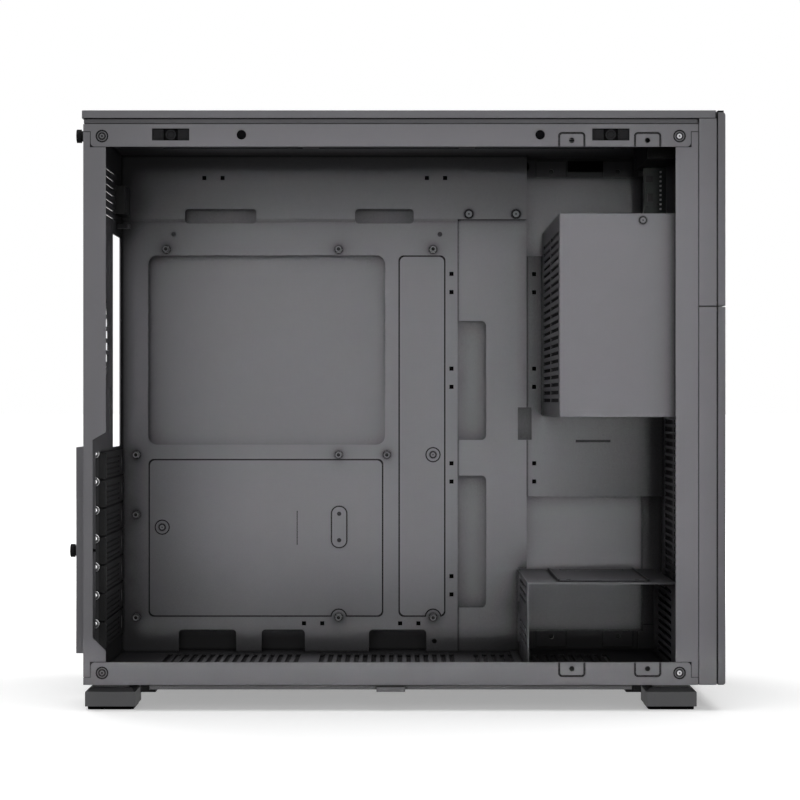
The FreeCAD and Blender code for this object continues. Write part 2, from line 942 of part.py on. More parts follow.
def rounded_opening(u0, u1, z0, z1, radius, d0, d1):
    """Rounded block that cuts through a sheet facing the open side."""
    return round_edges(box(u0, u1, d0, d1, z0, z1), ALONG_Y, radius)


def plate_openings():
    """Openings in the tray for the two set-in plates, with tongues left round the standoffs."""
    low_row = board_rows()[-1]
    d0 = tray_depth - sheet
    d1 = tray_far + sheet
    drive = rounded_opening(drive_plate_start, drive_plate_end, drive_plate_low, drive_plate_high,
                            plate_round, d0, d1)
    narrow = rounded_opening(narrow_plate_start, narrow_plate_end, drive_plate_low, narrow_plate_high,
                             plate_round, d0, d1)
    tongue = peg(ALONG_Y, board_second_column, d0, low_row, plate_notch, d1 - d0)
    second_tongue = peg(ALONG_Y, board_third_column, d0, low_row, plate_notch, d1 - d0)
    return [drive.cut(tongue), narrow.cut(second_tongue)]


def tray_ties():
    """Cable tie holes of the tray and its upper band."""
    holes = tie_pair(tie_band_one, tie_band_rise, tray_depth, False)
    holes += tie_pair(tie_band_two, tie_band_rise, tray_depth, False)
    for index in range(tie_count):
        holes += tie_pair(tie_edge_in, tie_first_height - index * tie_pitch, tray_depth, True)
    holes += tie_pair(tie_edge_in, tie_last_height, tray_depth, True)
    holes += tie_pair(tie_low_one, tie_low_rise, tray_depth, False)
    holes += tie_pair(tie_low_two, tie_low_rise, tray_depth, False)
    return holes


def motherboard_tray():
    """Tray sheet with a stepped upper band, cut-outs and tie holes."""
    step_top = tray_step_height + tray_step
    near = tray_depth - tray_step
    outline = [(tray_depth, base_z + sheet), (tray_depth, tray_step_height), (near, step_top),
               (near, top_z - sheet), (near + sheet, top_z - sheet), (near + sheet, step_top),
               (tray_far, tray_step_height), (tray_far, base_z + sheet)]
    folded = long_prism(outline, wall_in, band_long)
    d0 = near - sheet
    d1 = tray_far + sheet
    cuts = [box(tray_long, band_long + sheet, d0, d1, base_z, step_top)]
    cuts.append(rounded_opening(cpu_start, cpu_end, cpu_low, cpu_high, cpu_round, d0, d1))
    for start, long in ((top_cut_one, top_cut_one_long), (top_cut_two, top_cut_two_long)):
        cuts.append(rounded_opening(start, start + long, top_cut_low, top_cut_low + top_cut_high,
                                    top_cut_round, d0, d1))
    low_cuts = ((low_cut_one, low_cut_wide), (low_cut_two, low_cut_narrow), (low_cut_three, low_cut_wide))
    for start, wide in low_cuts:
        cuts.append(rounded_opening(start, start + wide, base_z - top_cut_round * 2, low_cut_top,
                                    top_cut_round, d0, d1))
    for u, z in ((plain_one, plain_rise), (plain_two, plain_rise), (plain_low_in, plain_low_rise)):
        cuts.append(peg(ALONG_Y, u, d0, z, plain_hole, d1 - d0))
    tray = folded.cut(cuts + plate_openings() + tray_ties())
    domes = [peg(ALONG_Y, u, near - emboss_high, emboss_rise, emboss_radius, emboss_high)
             for u in (emboss_one, emboss_two)]
    return fuse([tray] + domes)


def standoffs():
    """Hexagonal threaded posts on the tray, one per board hole."""
    posts = []
    start = tray_depth - standoff_high
    for u, z in board_points():
        post = peg(ALONG_Y, u, start, z, standoff_radius, standoff_high, hex_sides)
        posts.append(post.cut(rod(ALONG_Y, u, start, z, standoff_hole, standoff_hole_deep)))
    return Part.makeCompound(posts)


def set_in_plate(start, end, low, high, notch_u):
    """Plate flush in a tray opening, with a rim behind the tray and a notch round a standoff."""
    face = rounded_opening(start + plate_gap, end - plate_gap, low + plate_gap, high - plate_gap,
                           plate_round, tray_depth, tray_far)
    rim = rounded_opening(start - plate_rim, end + plate_rim, low - plate_rim, high + plate_rim,
                          plate_round, tray_far, strip_far)
    notch = peg(ALONG_Y, notch_u, tray_depth, board_rows()[-1], plate_notch + plate_gap, sheet)
    return fuse([face.cut(notch), rim])


def pill(start, low, wide, high, d0, d1):
    """Upright block with nearly half-round ends."""
    block = box(start, start + wide, d0, d1, low, low + high)
    return round_edges(block, ALONG_Y, wide / 2 - fit_gap)


def screw_groove(u, z):
    """Ring-shaped groove pressed round a screw."""
    outer = peg(ALONG_Y, u, tray_depth, z, plate_ring_radius + groove_wide, groove_deep)
    return outer.cut(peg(ALONG_Y, u, tray_depth, z, plate_ring_radius, groove_deep))


def drive_plate():
    """Plate for small drives with a boss in a pressed groove, its holes and a fine slit."""
    plate = set_in_plate(drive_plate_start, drive_plate_end, drive_plate_low, drive_plate_high,
                         board_second_column)
    boss = pill(boss_start, boss_low, boss_wide, boss_high, tray_depth - boss_proud,
                tray_depth + groove_deep)
    groove = pill(boss_start - groove_wide, boss_low - groove_wide, boss_wide + 2 * groove_wide,
                  boss_high + 2 * groove_wide, tray_depth, tray_depth + groove_deep)
    slit = box(plate_slit_in, plate_slit_in + plate_slit_wide, tray_depth, tray_depth + plate_slit_deep,
               plate_slit_low, plate_slit_low + plate_slit_high)
    pressed = plate.cut([groove, slit, screw_groove(plate_screw_in, plate_screw_height)])
    holes = []
    for z in (boss_low + boss_hole_in, boss_low + boss_high - boss_hole_in):
        holes.append(peg(ALONG_Y, boss_start + boss_wide / 2, tray_depth - sheet, z, boss_hole, sheet * 3))
    return fuse([pressed, boss]).cut(holes)


def narrow_plate():
    """Tall narrow plate beside the board with a groove round its screw."""
    plate = set_in_plate(narrow_plate_start, narrow_plate_end, drive_plate_low, narrow_plate_high,
                         board_third_column)
    return plate.cut(screw_groove(board_third_column, board_rows()[1]))


def plate_screws():
    """Screws that hold the two set-in plates."""
    screws = []
    for u, z in ((plate_screw_in, plate_screw_height), (board_third_column, board_rows()[1])):
        screws.append(peg(ALONG_Y, u, tray_depth - plate_screw_high, z, plate_screw_radius,
                          plate_screw_high))
    return Part.makeCompound(screws)


def cable_strip():
    """Strip beside the tray with two cable openings."""
    start = tray_long - strip_lap
    strip = box(start, band_long, tray_far, strip_far, base_z + sheet, strip_top)
    cuts = []
    for low, high in ((strip_slot_low, strip_slot_low_high), (strip_slot_top, strip_slot_top_high)):
        slot = box(tray_long, tray_long + strip_slot_wide, tray_far - sheet, strip_far + sheet, low,
                   low + high)
        inner_edge = rear_x + tray_long + sheet
        cuts.append(round_edges(slot, ALONG_Y, strip_slot_round, lambda c: c.x > inner_edge))
    cuts.append(box(strip_notch_in, band_long + sheet, tray_far - sheet, strip_far + sheet,
                    strip_notch_low, strip_notch_low + strip_notch_high))
    return strip.cut(cuts)


def psu_back_plate():
    """Plate behind the power supply bay."""
    start = band_long - strip_lap
    plate = box(start, front_in, strip_far, back_far, back_low, back_high)
    cuts = [box(back_slit_in, back_slit_in + back_slit_long, strip_far - sheet, back_far + sheet,
                back_slit_rise, back_slit_rise + back_slit_high)]
    cuts.append(box(start - sheet, band_long + strip_lap * 2, strip_far - sheet, back_far + sheet,
                    strip_notch_low, strip_notch_low + strip_notch_high))
    for index in range(tie_count):
        cuts += tie_pair(back_tie_in, tie_first_height - index * tie_pitch, strip_far, True)
    return plate.cut(cuts)


def psu_cover():
    """Folded cover of the power supply bay with two columns of air slots in its side."""
    near_face = box(psu_start, front_in, psu_near, psu_near + sheet, psu_low, psu_high)
    side_face = box(psu_start, psu_start + sheet, psu_near, strip_far, psu_low, psu_high)
    folded = round_edges(fuse([near_face, side_face]), ALONG_Z, sheet / 2,
                         lambda c: c.x < rear_x + psu_start + fit_gap and c.y < left_y + psu_near + fit_gap)
    cuts = []
    for row in range(psu_slot_rows):
        low = psu_slot_low + row * psu_slot_pitch
        for near in (psu_slot_near, psu_slot_near + psu_slot_long + psu_slot_break):
            cuts.append(box(psu_start - sheet, psu_start + sheet * 2, near, near + psu_slot_long,
                            low, low + psu_slot_high))
    return folded.cut(cuts)


def psu_screw():
    """Screw in the cover's face."""
    height = psu_high - psu_screw_down - sheet
    return peg(ALONG_Y, psu_screw_in, psu_near - sheet, height, psu_screw_radius, sheet)


def psu_mount_plate():
    """Plate across the top of the bay that the power supply is screwed to."""
    plate = box(psu_start + sheet, front_in, psu_near + sheet, strip_far, psu_high - sheet, psu_high)
    middle_u = (psu_start + front_in) / 2
    middle_d = (psu_near + strip_far) / 2
    half_long = psu_hole_long / 2 - psu_window_margin
    half_wide = psu_hole_wide / 2
    cuts = [box(middle_u - half_wide, middle_u + half_wide, middle_d - half_long, middle_d + half_long,
                psu_high - sheet * 2, psu_high + sheet)]
    for turn in (-1, 1):
        for side in (-1, 1):
            cuts.append(rod(ALONG_Z, middle_u + side * psu_hole_wide / 2,
                            middle_d + turn * psu_hole_long / 2,
                            psu_high - sheet, psu_hole_radius, sheet))
    return plate.cut(cuts)


def cage_slot(u, near, long, low, high):
    """Level slot through one wall of the drive cage."""
    return box(u - sheet, u + sheet * 2, cage_near + near, cage_near + near + long, low, low + high)


def drive_cage():
    """Hat-shaped sheet that holds two large drives on the floor, slotted in both walls."""
    floor = base_z + sheet
    outline = [(cage_start - cage_foot, floor), (cage_start + sheet, floor), (cage_start + sheet,
                                                                              cage_top - sheet),
               (cage_end - sheet, cage_top - sheet), (cage_end - sheet, floor), (cage_end + cage_foot,
                                                                                 floor),
               (cage_end + cage_foot, floor + sheet), (cage_end, floor + sheet), (cage_end, cage_top),
               (cage_start, cage_top), (cage_start, floor + sheet), (cage_start - cage_foot, floor + sheet)]
    hat = side_prism(outline, cage_near, tray_depth)
    cuts = []
    for row in range(cage_bay_count):
        height = cage_bay_first + row * cage_bay_pitch
        for index in range(cage_hole_count):
            depth = cage_near + cage_hole_first + index * cage_hole_pitch
            cuts.append(peg(ALONG_X, cage_start - sheet, depth, height, cage_hole, sheet * 3))
        cuts.append(cage_slot(cage_start, cage_window_near, cage_window_long, height, cage_window_high))
        for index in range(cage_slot_count):
            low = height + cage_slot_rise + index * cage_slot_pitch
            cuts.append(cage_slot(cage_start, cage_slot_near, cage_slot_long, low, cage_slot_high))
    for index in range(cage_louvre_count):
        low = cage_louvre_low + index * cage_slot_pitch
        cuts.append(cage_slot(cage_end - sheet, cage_slot_near, cage_slot_long, low, cage_slot_high))
    cuts.append(small_tray_opening())
    return hat.cut(cuts)


def small_tray_opening():
    """Block that cuts the far slot of the small drive tray and the cage top under it."""
    far = small_tray_far - small_tray_slot
    return box(small_tray_start + small_tray_hole_in, small_tray_end - small_tray_hole_in,
               far - small_tray_slot, far, cage_top - sheet * 2, cage_top + small_tray_high)


def small_drive_tray():
    """Shallow tray for a small drive on top of the cage."""
    outer = box(small_tray_start, small_tray_end, small_tray_near, small_tray_far, cage_top,
                cage_top + small_tray_high)
    hollow = box(small_tray_start + sheet, small_tray_end - sheet, small_tray_near - sheet,
                 small_tray_far + sheet,
                 cage_top + sheet, cage_top + small_tray_high + sheet)
    holes = [peg(ALONG_Z, u, small_tray_near + small_tray_hole_in, cage_top, cage_hole, sheet)
             for u in (small_tray_start + small_tray_hole_in, small_tray_end - small_tray_hole_in)]
    return outer.cut([hollow, small_tray_opening()] + holes)


def slot_cover(z):
    """Grooved cover of one slot, with a lip at its near end and a tab turned out over the shelf."""
    low = z - cover_wide / 2
    high = z + cover_wide / 2
    plate = box(wall_in, wall_in + sheet, slot_shelf_depth - sheet, cover_far, low, high)
    lip = box(wall_in, wall_in + sheet + cover_lip, slot_shelf_depth - sheet, slot_shelf_depth, low, high)
    tab = box(-slot_shelf_reach + sheet, wall_in, slot_shelf_depth - sheet, slot_shelf_depth, low, high)
    cuts = []
    for row in range(cover_slot_count):
        start = z + (row - cover_slot_count / 2) * cover_slot_pitch
        cuts.append(box(wall_in + sheet - cover_groove_deep, wall_in + sheet * 2, cover_slot_near,
                        cover_slot_far, start, start + cover_slot_high))
    cuts.append(box(wall_in - sheet, wall_in + sheet * 2, slot_far - cover_notch_wide - sheet,
                    slot_far - sheet,
                    z - cover_notch_high / 2, z + cover_notch_high / 2))
    cuts.append(peg(ALONG_Y, wall_out - slot_hole_out, slot_shelf_depth - sheet, z + slot_hole_rise,
                    slot_hole_radius, sheet))
    return fuse([plate, lip, tab]).cut(cuts)


def slot_guard():
    """Folded cover outside the slot tabs, open towards the sheet."""
    top = guard_low + guard_high
    face = box(-guard_reach, -guard_reach + sheet, guard_near, guard_far, guard_low, top)
    near_side = box(-guard_reach, wall_out, guard_near, guard_near + sheet, guard_low, top)
    far_side = box(-guard_reach, wall_out - slot_hole_out, guard_far - sheet, guard_far, guard_low, top)
    hole = peg(ALONG_X, -guard_reach, guard_screw_depth, guard_screw_height, thumb_hole_radius, sheet)
    folded = round_edges(fuse([face, near_side, far_side]), ALONG_Z, sheet / 2,
                         lambda c: c.x < rear_x - guard_reach + fit_gap)
    return folded.cut([hole])


def thumbscrew(seat, d, z):
    """Thumbscrew on the rear with a many-sided grip."""
    head = peg(ALONG_X, seat - thumb_head_long, d, z, thumb_head_radius, thumb_head_long)
    shank = peg(ALONG_X, seat, d, z, thumb_shank_radius, wall_in + sheet * 2 - seat)
    return fuse([head, shank])


def guard_thumbscrew():
    """Screw of the outer slot cover."""
    return thumbscrew(-guard_reach, guard_screw_depth, guard_screw_height)


def panel_thumbscrews():
    """Screws at the top of the rear, one for each side."""
    depths = (panel_thumb_depth, chassis_width - panel_thumb_depth)
    return Part.makeCompound([thumbscrew(panel_thumb_out, depth, panel_thumb_height) for depth in depths])


def power_inlet():
    """Inlet with a rim on the rear sheet's outside and a hollow body through it."""
    far = inlet_near + inlet_wide
    high = inlet_low + inlet_high
    rim = box(wall_out - sheet, wall_out, inlet_near - inlet_rim, far + inlet_rim / 2,
              inlet_low - inlet_rim, high + inlet_rim)
    body = box(wall_out - sheet, wall_out + inlet_long, inlet_near + fit_gap, far - fit_gap,
               inlet_low + fit_gap, high - fit_gap)
    pocket = box(wall_out - sheet * 2, wall_out - sheet + inlet_pocket, inlet_near + inlet_wall,
                 far - inlet_wall,
                 inlet_low + inlet_wall, high - inlet_wall)
    shell = fuse([rim, body]).cut(pocket)
    blades = []
    middle_d = inlet_near + inlet_wide / 2
    middle_z = inlet_low + inlet_high / 2
    for offset in (-inlet_wide / 4, 0, inlet_wide / 4):
        rise = inlet_high / 8 if offset == 0 else -inlet_high / 8
        base = wall_out - sheet + inlet_pocket
        blades.append(box(base - blade_long, base, middle_d + offset - blade_wide / 2,
                          middle_d + offset + blade_wide / 2,
                          middle_z + rise - blade_high / 2, middle_z + rise + blade_high / 2))
    return fuse([shell] + blades)


def right_side_panel():
    """Flat panel with a rim that rests on the right side frame."""
    outer = box(0, chassis_depth, chassis_width, total_width, base_z + fit_gap, top_z - fit_gap)
    rim = flange_wide / 2
    hollow = box(rim, chassis_depth - rim, chassis_width - sheet, total_width - sheet,
                 base_z + rim, top_z - rim)
    hollow = round_edges(hollow, ALONG_Y, flange_round)
    panel = outer.cut(hollow)
    return round_edges(panel, ALONG_Y, sheet, lambda c: c.x < rear_x + sheet or c.x > front_x - sheet)


def front_frame(low, high):
    """Moulded frame on the front sheet, standing off by a narrow seat."""
    start = chassis_depth + front_seat
    end = chassis_depth + front_frame_depth
    frame = upright_frame(start, end, 0, total_width, low, high, front_rim)
    seat = upright_frame(chassis_depth, start, front_seat_in, chassis_width - front_seat_in,
                         low + front_seat_in, high - front_seat_in, front_rim - front_seat_in)
    return fuse([frame, seat])


def front_plate(low, high):
    """Front plate on a seat that leaves a dark gap behind its edges."""
    start = chassis_depth + front_frame_depth
    face = box(start + front_gap, start + front_gap + front_plate_thick, 0, total_width, low, high)
    outer_x = rear_x + start + front_gap + sheet
    face = round_edges(face, ALONG_Y, front_round,
                       lambda c: c.x > outer_x and abs(c.z - front_split) > front_split_gap)
    seat_in = front_seat_in
    seat = upright_frame(start, start + front_gap, seat_in, total_width - seat_in, low + seat_in,
                         min(high, cover_bottom) - seat_in, front_rim - seat_in)
    return fuse([face, seat])


def front_plate_lower():
    """Lower front plate with a field of level air slots."""
    low = base_z
    high = front_split - front_split_gap / 2
    plate = front_plate(low, high)
    start = chassis_depth + front_frame_depth
    step_d = (total_width - 2 * front_slot_side_in + front_slot_post) / front_slot_columns
    step_z = (high - low - 2 * front_slot_end_in + front_slot_bar) / front_slot_rows
    slots = []
    for column_index in range(front_slot_columns):
        for row in range(front_slot_rows):
            near = front_slot_side_in + column_index * step_d
            bottom = low + front_slot_end_in + row * step_z
            slots.append(box(start - sheet, start + front_gap + front_plate_thick + sheet,
                             near, near + step_d - front_slot_post, bottom,
                             bottom + step_z - front_slot_bar))
    return plate.cut(slots)


def front_mesh():
    """Dust mesh behind the lower front plate, held in the frame."""
    start = chassis_depth + front_frame_depth
    return box(start - sheet, start, front_rim, total_width - front_rim, base_z + front_rim,
               front_split - front_split_gap / 2 - front_rim)


def front_trim():
    """Dark strip on top of the upper front plate."""
    start = chassis_depth + front_frame_depth + front_gap
    return box(start, start + front_plate_thick - sheet, sheet, total_width - sheet,
               front_plate_top, front_plate_top + front_trim_high)


def top_frame():
    """Moulded frame between the top sheet and the cover, with a thin ledge showing at the side."""
    ledge = frame_box(fit_gap, chassis_depth - fit_gap, fit_gap, total_width - fit_gap,
                      frame_ledge_low, frame_ledge_high, frame_inset + frame_wall - fit_gap)
    wall = frame_box(frame_inset, chassis_depth - frame_inset, frame_inset, chassis_width - frame_inset,
                     top_z, cover_top - sheet, frame_wall)
    bar = box(frame_bar, frame_bar + frame_wall, frame_inset + sheet, chassis_width - frame_inset - sheet,
              top_z, cover_top - sheet)
    return fuse([ledge, wall, bar])


def top_mesh():
    """Dust mesh lying on the top sheet inside the frame."""
    edge = frame_inset + frame_wall
    return box(edge, frame_bar, edge, chassis_width - edge, top_z, top_z + sheet)


def top_cover():
    """Folded cover with a field of air slots and an opening for the ports."""
    end = chassis_depth + front_frame_depth
    outer = box(-cover_overhang, end, 0, total_width, cover_bottom, cover_top)
    outer = round_edges(outer, ALONG_Z, cover_round)
    hollow = box(-cover_overhang + sheet, end - sheet, sheet, total_width - sheet, cover_bottom - sheet,
                 cover_top - sheet)
    step_u = (cover_slot_front - cover_slot_side_in + cover_slot_bar) / cover_slot_columns
    step_d = (total_width - 2 * cover_slot_side_in + cover_slot_post) / cover_slot_rows
    slots = []
    for column_index in range(cover_slot_columns):
        for row in range(cover_slot_rows):
            start = cover_slot_side_in + column_index * step_u
            near = cover_slot_side_in + row * step_d
            slots.append(box(start, start + step_u - cover_slot_bar, near, near + step_d - cover_slot_post,
                             cover_top - sheet * 2, cover_top + sheet))
    port_hole = box(port_start - fit_gap, port_end + fit_gap, port_near - fit_gap, port_far + fit_gap,
                    cover_top - sheet * 2, cover_top + sheet)
    return outer.cut([hollow] + slots + [port_hole])


def port_middle():
    """Centre line of the ports along the case."""
    return (port_start + port_end) / 2


def port_block(d, wide, high, grow, z0, z1):
    """Block round a port's centre."""
    middle = port_middle()
    return box(middle - high / 2 - grow, middle + high / 2 + grow, d - wide / 2 - grow,
               d + wide / 2 + grow, z0, z1)


def port_module():
    """Housing of the button and ports in the top, with a pocket for each."""
    block = box(port_start, port_end, port_near, port_far, port_low, port_high)
    block = round_edges(block, ALONG_Z, sheet)
    floor = port_high - port_deep
    well = rod(ALONG_Z, port_middle(), button_depth, button_low - button_travel * 2,
               button_radius + fit_gap,
               port_high - button_low + button_travel * 3)
    cuts = [well]
    cuts.append(port_block(usb_a_depth, usb_a_wide, usb_a_high, port_shell, floor, port_high + sheet))
    cuts.append(port_block(usb_c_depth, usb_c_wide, usb_c_high, port_shell, floor, port_high + sheet))
    cuts.append(peg(ALONG_Z, port_middle(), audio_depth, floor, audio_radius, port_deep + sheet))
    return block.cut(cuts)


def usb_port(d, wide, high):
    """Metal shell with its tongue inside."""
    floor = port_high - port_deep
    shell = port_block(d, wide, high, port_shell, floor, port_high)
    hollow = port_block(d, wide, high, 0, floor + sheet, port_high + sheet)
    tongue = port_block(d, wide * tongue_wide_share, high * tongue_high_share, 0, floor + sheet,
                        port_high - sheet)
    return fuse([shell.cut(hollow), tongue])


def audio_port():
    """Round socket."""
    floor = port_high - port_deep
    body = peg(ALONG_Z, port_middle(), audio_depth, floor, audio_radius, port_deep)
    return body.cut(peg(ALONG_Z, port_middle(), audio_depth, floor + sheet, audio_hole, port_deep))


def power_button():
    """Round push button with a bevelled edge."""
    button = rod(ALONG_Z, port_middle(), button_depth, button_low, button_radius, button_top - button_low)
    edges = [edge for edge in button.Edges if edge.Closed and edge.CenterOfMass.z > button_low + sheet]
    return button.makeChamfer(sheet / 2, edges)


def input_board():
    """Circuit board hanging below the port module."""
    return box(port_end - board_long, port_end, board_depth, board_depth + board_thick,
               port_low - board_high, port_low)


def input_pins():
    """Row of pins on the board's near face."""
    start = port_end - board_long + pin_in
    pins = []
    for index in range(pin_count):
        low = port_low - board_high + pin_low_in + index * pin_pitch
        pins.append(box(start, start + pin_size, board_depth - pin_long, board_depth, low, low + pin_size))
    return Part.makeCompound(pins)


def foot_corners():
    """Start of each foot along and across the case, by name."""
    far = chassis_width - foot_side_in - foot_size
    front = chassis_depth - foot_size
    return {"rear_left": (0, foot_side_in), "rear_right": (0, far),
            "front_left": (front, foot_side_in), "front_right": (front, far)}


def foot(u, d):
    """Foot with a chamfered body and a narrower neck."""
    neck_low = base_z - foot_neck_high
    body = box(u, u + foot_size, d, d + foot_size, pad_high, neck_low)
    top_edges = [edge for edge in body.Edges if abs(edge.CenterOfMass.z - neck_low) < fit_gap]
    body = body.makeChamfer(foot_chamfer, top_edges)
    neck = box(u + foot_neck_in, u + foot_size - foot_neck_in, d + foot_neck_in,
               d + foot_size - foot_neck_in,
               neck_low, base_z)
    return fuse([body, neck])


def foot_pad(u, d):
    """Rubber pad under one foot."""
    pad = box(u + pad_in, u + foot_size - pad_in, d + pad_in, d + foot_size - pad_in, 0, pad_high)
    return pad.makeChamfer(pad_in, [edge for edge in pad.Edges if is_along(edge, ALONG_Z)])


def dust_filter():
    """Sliding filter frame with cross bars and a pull tab."""
    frame = frame_box(filter_start, filter_end, filter_near, filter_far, filter_low, filter_high,
                      filter_rim)
    bars = []
    step = (filter_end - filter_start) / filter_columns
    for index in range(1, filter_columns):
        middle = filter_start + index * step
        bars.append(box(middle - filter_bar / 2, middle + filter_bar / 2, filter_near + sheet,
                        filter_far - sheet,
                        filter_low, filter_high - sheet))
    tab = box(tab_start, tab_start + tab_long, filter_near - tab_reach, filter_near + sheet, tab_low,
              filter_high - sheet)
    tab = round_edges(tab, ALONG_Z, sheet, lambda c: c.y < left_y + filter_near)
    return fuse([frame] + bars + [tab])


def filter_mesh():
    """Mesh lying on the filter's bars."""
    return box(filter_start + filter_rim, filter_end - filter_rim, filter_near + filter_rim,
               filter_far - filter_rim,
               filter_high - sheet, filter_high - sheet + filter_mesh_high)


def filter_rails():
    """Two angle rails under the bottom sheet that carry the filter."""
    rails = []
    top = base_z
    lip_high = filter_low - rail_clear
    for edge, outward in ((filter_start, -1), (filter_end, 1)):
        inner = edge + outward * rail_clear
        outline = [(inner, top), (inner + outward * rail_wide, top), (inner + outward * rail_wide,
                                                                      rail_low),
                   (edge - outward * rail_lip, rail_low), (edge - outward * rail_lip, lip_high), (inner,
                                                                                                  lip_high)]
        rails.append(side_prism(outline, filter_near, filter_far))
    return Part.makeCompound(rails)


def build_chassis():
    """Folded sheets, fasteners and panel parts."""
    save("chassis_top", chassis_top())
    save("chassis_bottom", chassis_bottom())
    save("chassis_rear", chassis_rear())
    save("chassis_front", chassis_front())
    save("corner_screws", corner_screws())
    save("panel_clips", panel_clips())
    save("bumpers", bumpers())
    save("right_side_panel", right_side_panel())
    save("panel_thumbscrews", panel_thumbscrews())


def build_inside():
    """Tray, plates, power supply bay and drive cage."""
    save("motherboard_tray", motherboard_tray())
    save("standoffs", standoffs())
    save("drive_plate", drive_plate())
    save("narrow_plate", narrow_plate())
    save("plate_screws", plate_screws())
    save("cable_strip", cable_strip())
    save("psu_back_plate", psu_back_plate())
    save("psu_cover", psu_cover())
    save("psu_screw", psu_screw())
    save("psu_mount_plate", psu_mount_plate())
    save("drive_cage", drive_cage())
    save("small_drive_tray", small_drive_tray())


def build_rear():
    """Slot covers, their outer cover and the inlet."""
    for index, height in enumerate(slot_heights()):
        save("slot_cover_" + str(index + 1), slot_cover(height))
    save("slot_guard", slot_guard())
    save("guard_thumbscrew", guard_thumbscrew())
    save("power_inlet", power_inlet())


def build_outside():
    """Front, top, ports, feet and filter."""
    upper_low = front_split + front_split_gap / 2
    lower_high = front_split - front_split_gap / 2
    save("front_frame_upper", front_frame(upper_low, cover_bottom - fit_gap))
    save("front_frame_lower", front_frame(base_z, lower_high))
    save("front_plate_upper", front_plate(upper_low, front_plate_top))
    save("front_plate_lower", front_plate_lower())
    save("front_mesh", front_mesh())
    save("front_trim", front_trim())
    save("top_frame", top_frame())
    save("top_mesh", top_mesh())
    save("top_cover", top_cover())
    save("port_module", port_module())
    save("usb_a_port", usb_port(usb_a_depth, usb_a_wide, usb_a_high))
    save("usb_c_port", usb_port(usb_c_depth, usb_c_wide, usb_c_high))
    save("audio_port", audio_port())
    save("power_button", power_button())
    save("input_board", input_board())
    save("input_pins", input_pins())
    for name, corner in foot_corners().items():
        save("foot_" + name, foot(corner[0], corner[1]))
        save("pad_" + name, foot_pad(corner[0], corner[1]))
    save("dust_filter", dust_filter())
    save("filter_mesh", filter_mesh())
    save("filter_rails", filter_rails())


os.makedirs("parts", exist_ok=True)
build_chassis()
build_inside()
build_rear()
build_outside()
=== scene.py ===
import math

import bpy
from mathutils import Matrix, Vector


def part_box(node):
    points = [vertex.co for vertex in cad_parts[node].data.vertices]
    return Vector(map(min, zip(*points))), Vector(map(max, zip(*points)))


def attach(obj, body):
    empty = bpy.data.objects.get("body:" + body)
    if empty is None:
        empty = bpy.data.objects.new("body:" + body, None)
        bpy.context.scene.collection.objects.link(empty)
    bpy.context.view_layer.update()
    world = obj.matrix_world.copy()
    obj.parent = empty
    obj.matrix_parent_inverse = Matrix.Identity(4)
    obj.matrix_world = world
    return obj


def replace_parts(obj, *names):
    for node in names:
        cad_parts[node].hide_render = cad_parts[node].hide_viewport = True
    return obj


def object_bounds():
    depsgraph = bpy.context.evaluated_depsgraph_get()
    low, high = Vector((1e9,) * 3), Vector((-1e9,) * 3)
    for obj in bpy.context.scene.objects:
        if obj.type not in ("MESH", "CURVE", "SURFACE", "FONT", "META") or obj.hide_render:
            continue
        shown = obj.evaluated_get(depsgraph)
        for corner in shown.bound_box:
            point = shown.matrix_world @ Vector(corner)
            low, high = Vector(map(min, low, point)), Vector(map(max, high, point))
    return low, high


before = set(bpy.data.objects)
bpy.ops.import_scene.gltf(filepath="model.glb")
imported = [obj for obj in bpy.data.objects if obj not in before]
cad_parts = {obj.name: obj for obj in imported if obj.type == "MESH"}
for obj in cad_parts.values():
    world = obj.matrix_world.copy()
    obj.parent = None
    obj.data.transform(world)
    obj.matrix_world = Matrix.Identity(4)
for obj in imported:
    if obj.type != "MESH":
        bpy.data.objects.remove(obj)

CAD_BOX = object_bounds()
CASE_LOW = [min(corner) for corner in zip(*CAD_BOX)]

bl_info = {
    "name": "Mid tower computer case",
    "version": (1, 0, 0),
    "blender": (4, 5, 0),
    "location": "View3D > Sidebar > Case",
    "description": "Finishes, fasteners and studio for an open steel computer case",
    "category": "Object",
}

MM = 0.001

# Turns that lay a rod across the case, as the camera and the board's pattern have it, and along the case
ACROSS = (math.pi / 2, 0, 0)
ALONG = (0, math.pi / 2, 0)

# Distances from the middle between which the floor's glow grows to white, in metres
GLOW_NEAR = 0.35
GLOW_FAR = 1.1

# Lamps: place, point each is turned to, width and height in metres, setting of its power, spread in degrees
MIDDLE = (0.0, 0.0, 0.2)
LAMPS = (
    ("front_lamp", (0.0, -2.6, 0.55), MIDDLE, 2.2, 2.2, "key", 180),
    ("inside_lamp", (0.016, -1.9, 0.219), (0.016, 0.08, 0.219), 0.385, 0.325, "beam", 5),
    ("rail_lamp", (-0.005, -1.9, 0.032), (-0.005, 0.08, 0.032), 0.47, 0.02, "rail", 1),
    ("top_lamp", (0.0, -0.5, 2.6), (0.0, -0.5, 0.0), 3.0, 3.0, "top", 180),
    ("rear_lamp", (-1.7, 2.2, 1.2), MIDDLE, 1.9, 1.9, "rear", 180),
    ("side_lamp", (2.5, 0.7, 1.0), MIDDLE, 1.6, 1.6, "side", 180))

# Chips on the input board: shares along and up the board, then width, height and rise in mm
CHIPS = ((0.25, 0.75, 5.0, 5.0, 1.0), (0.3, 0.35, 4.0, 6.0, 1.2), (0.62, 0.2, 2.0, 1.2, 0.6),
         (0.15, 0.15, 2.0, 1.2, 0.6), (0.12, 0.52, 1.2, 2.0, 0.6))

# Shade painted into the coats' colour: colour left in seams, where the masks start, how much a nook adds
CREVICE_SHADE = 0.04
CREVICE_START = 0.2
NOOK_START = 0.95
NOOK_GAIN = 1.1
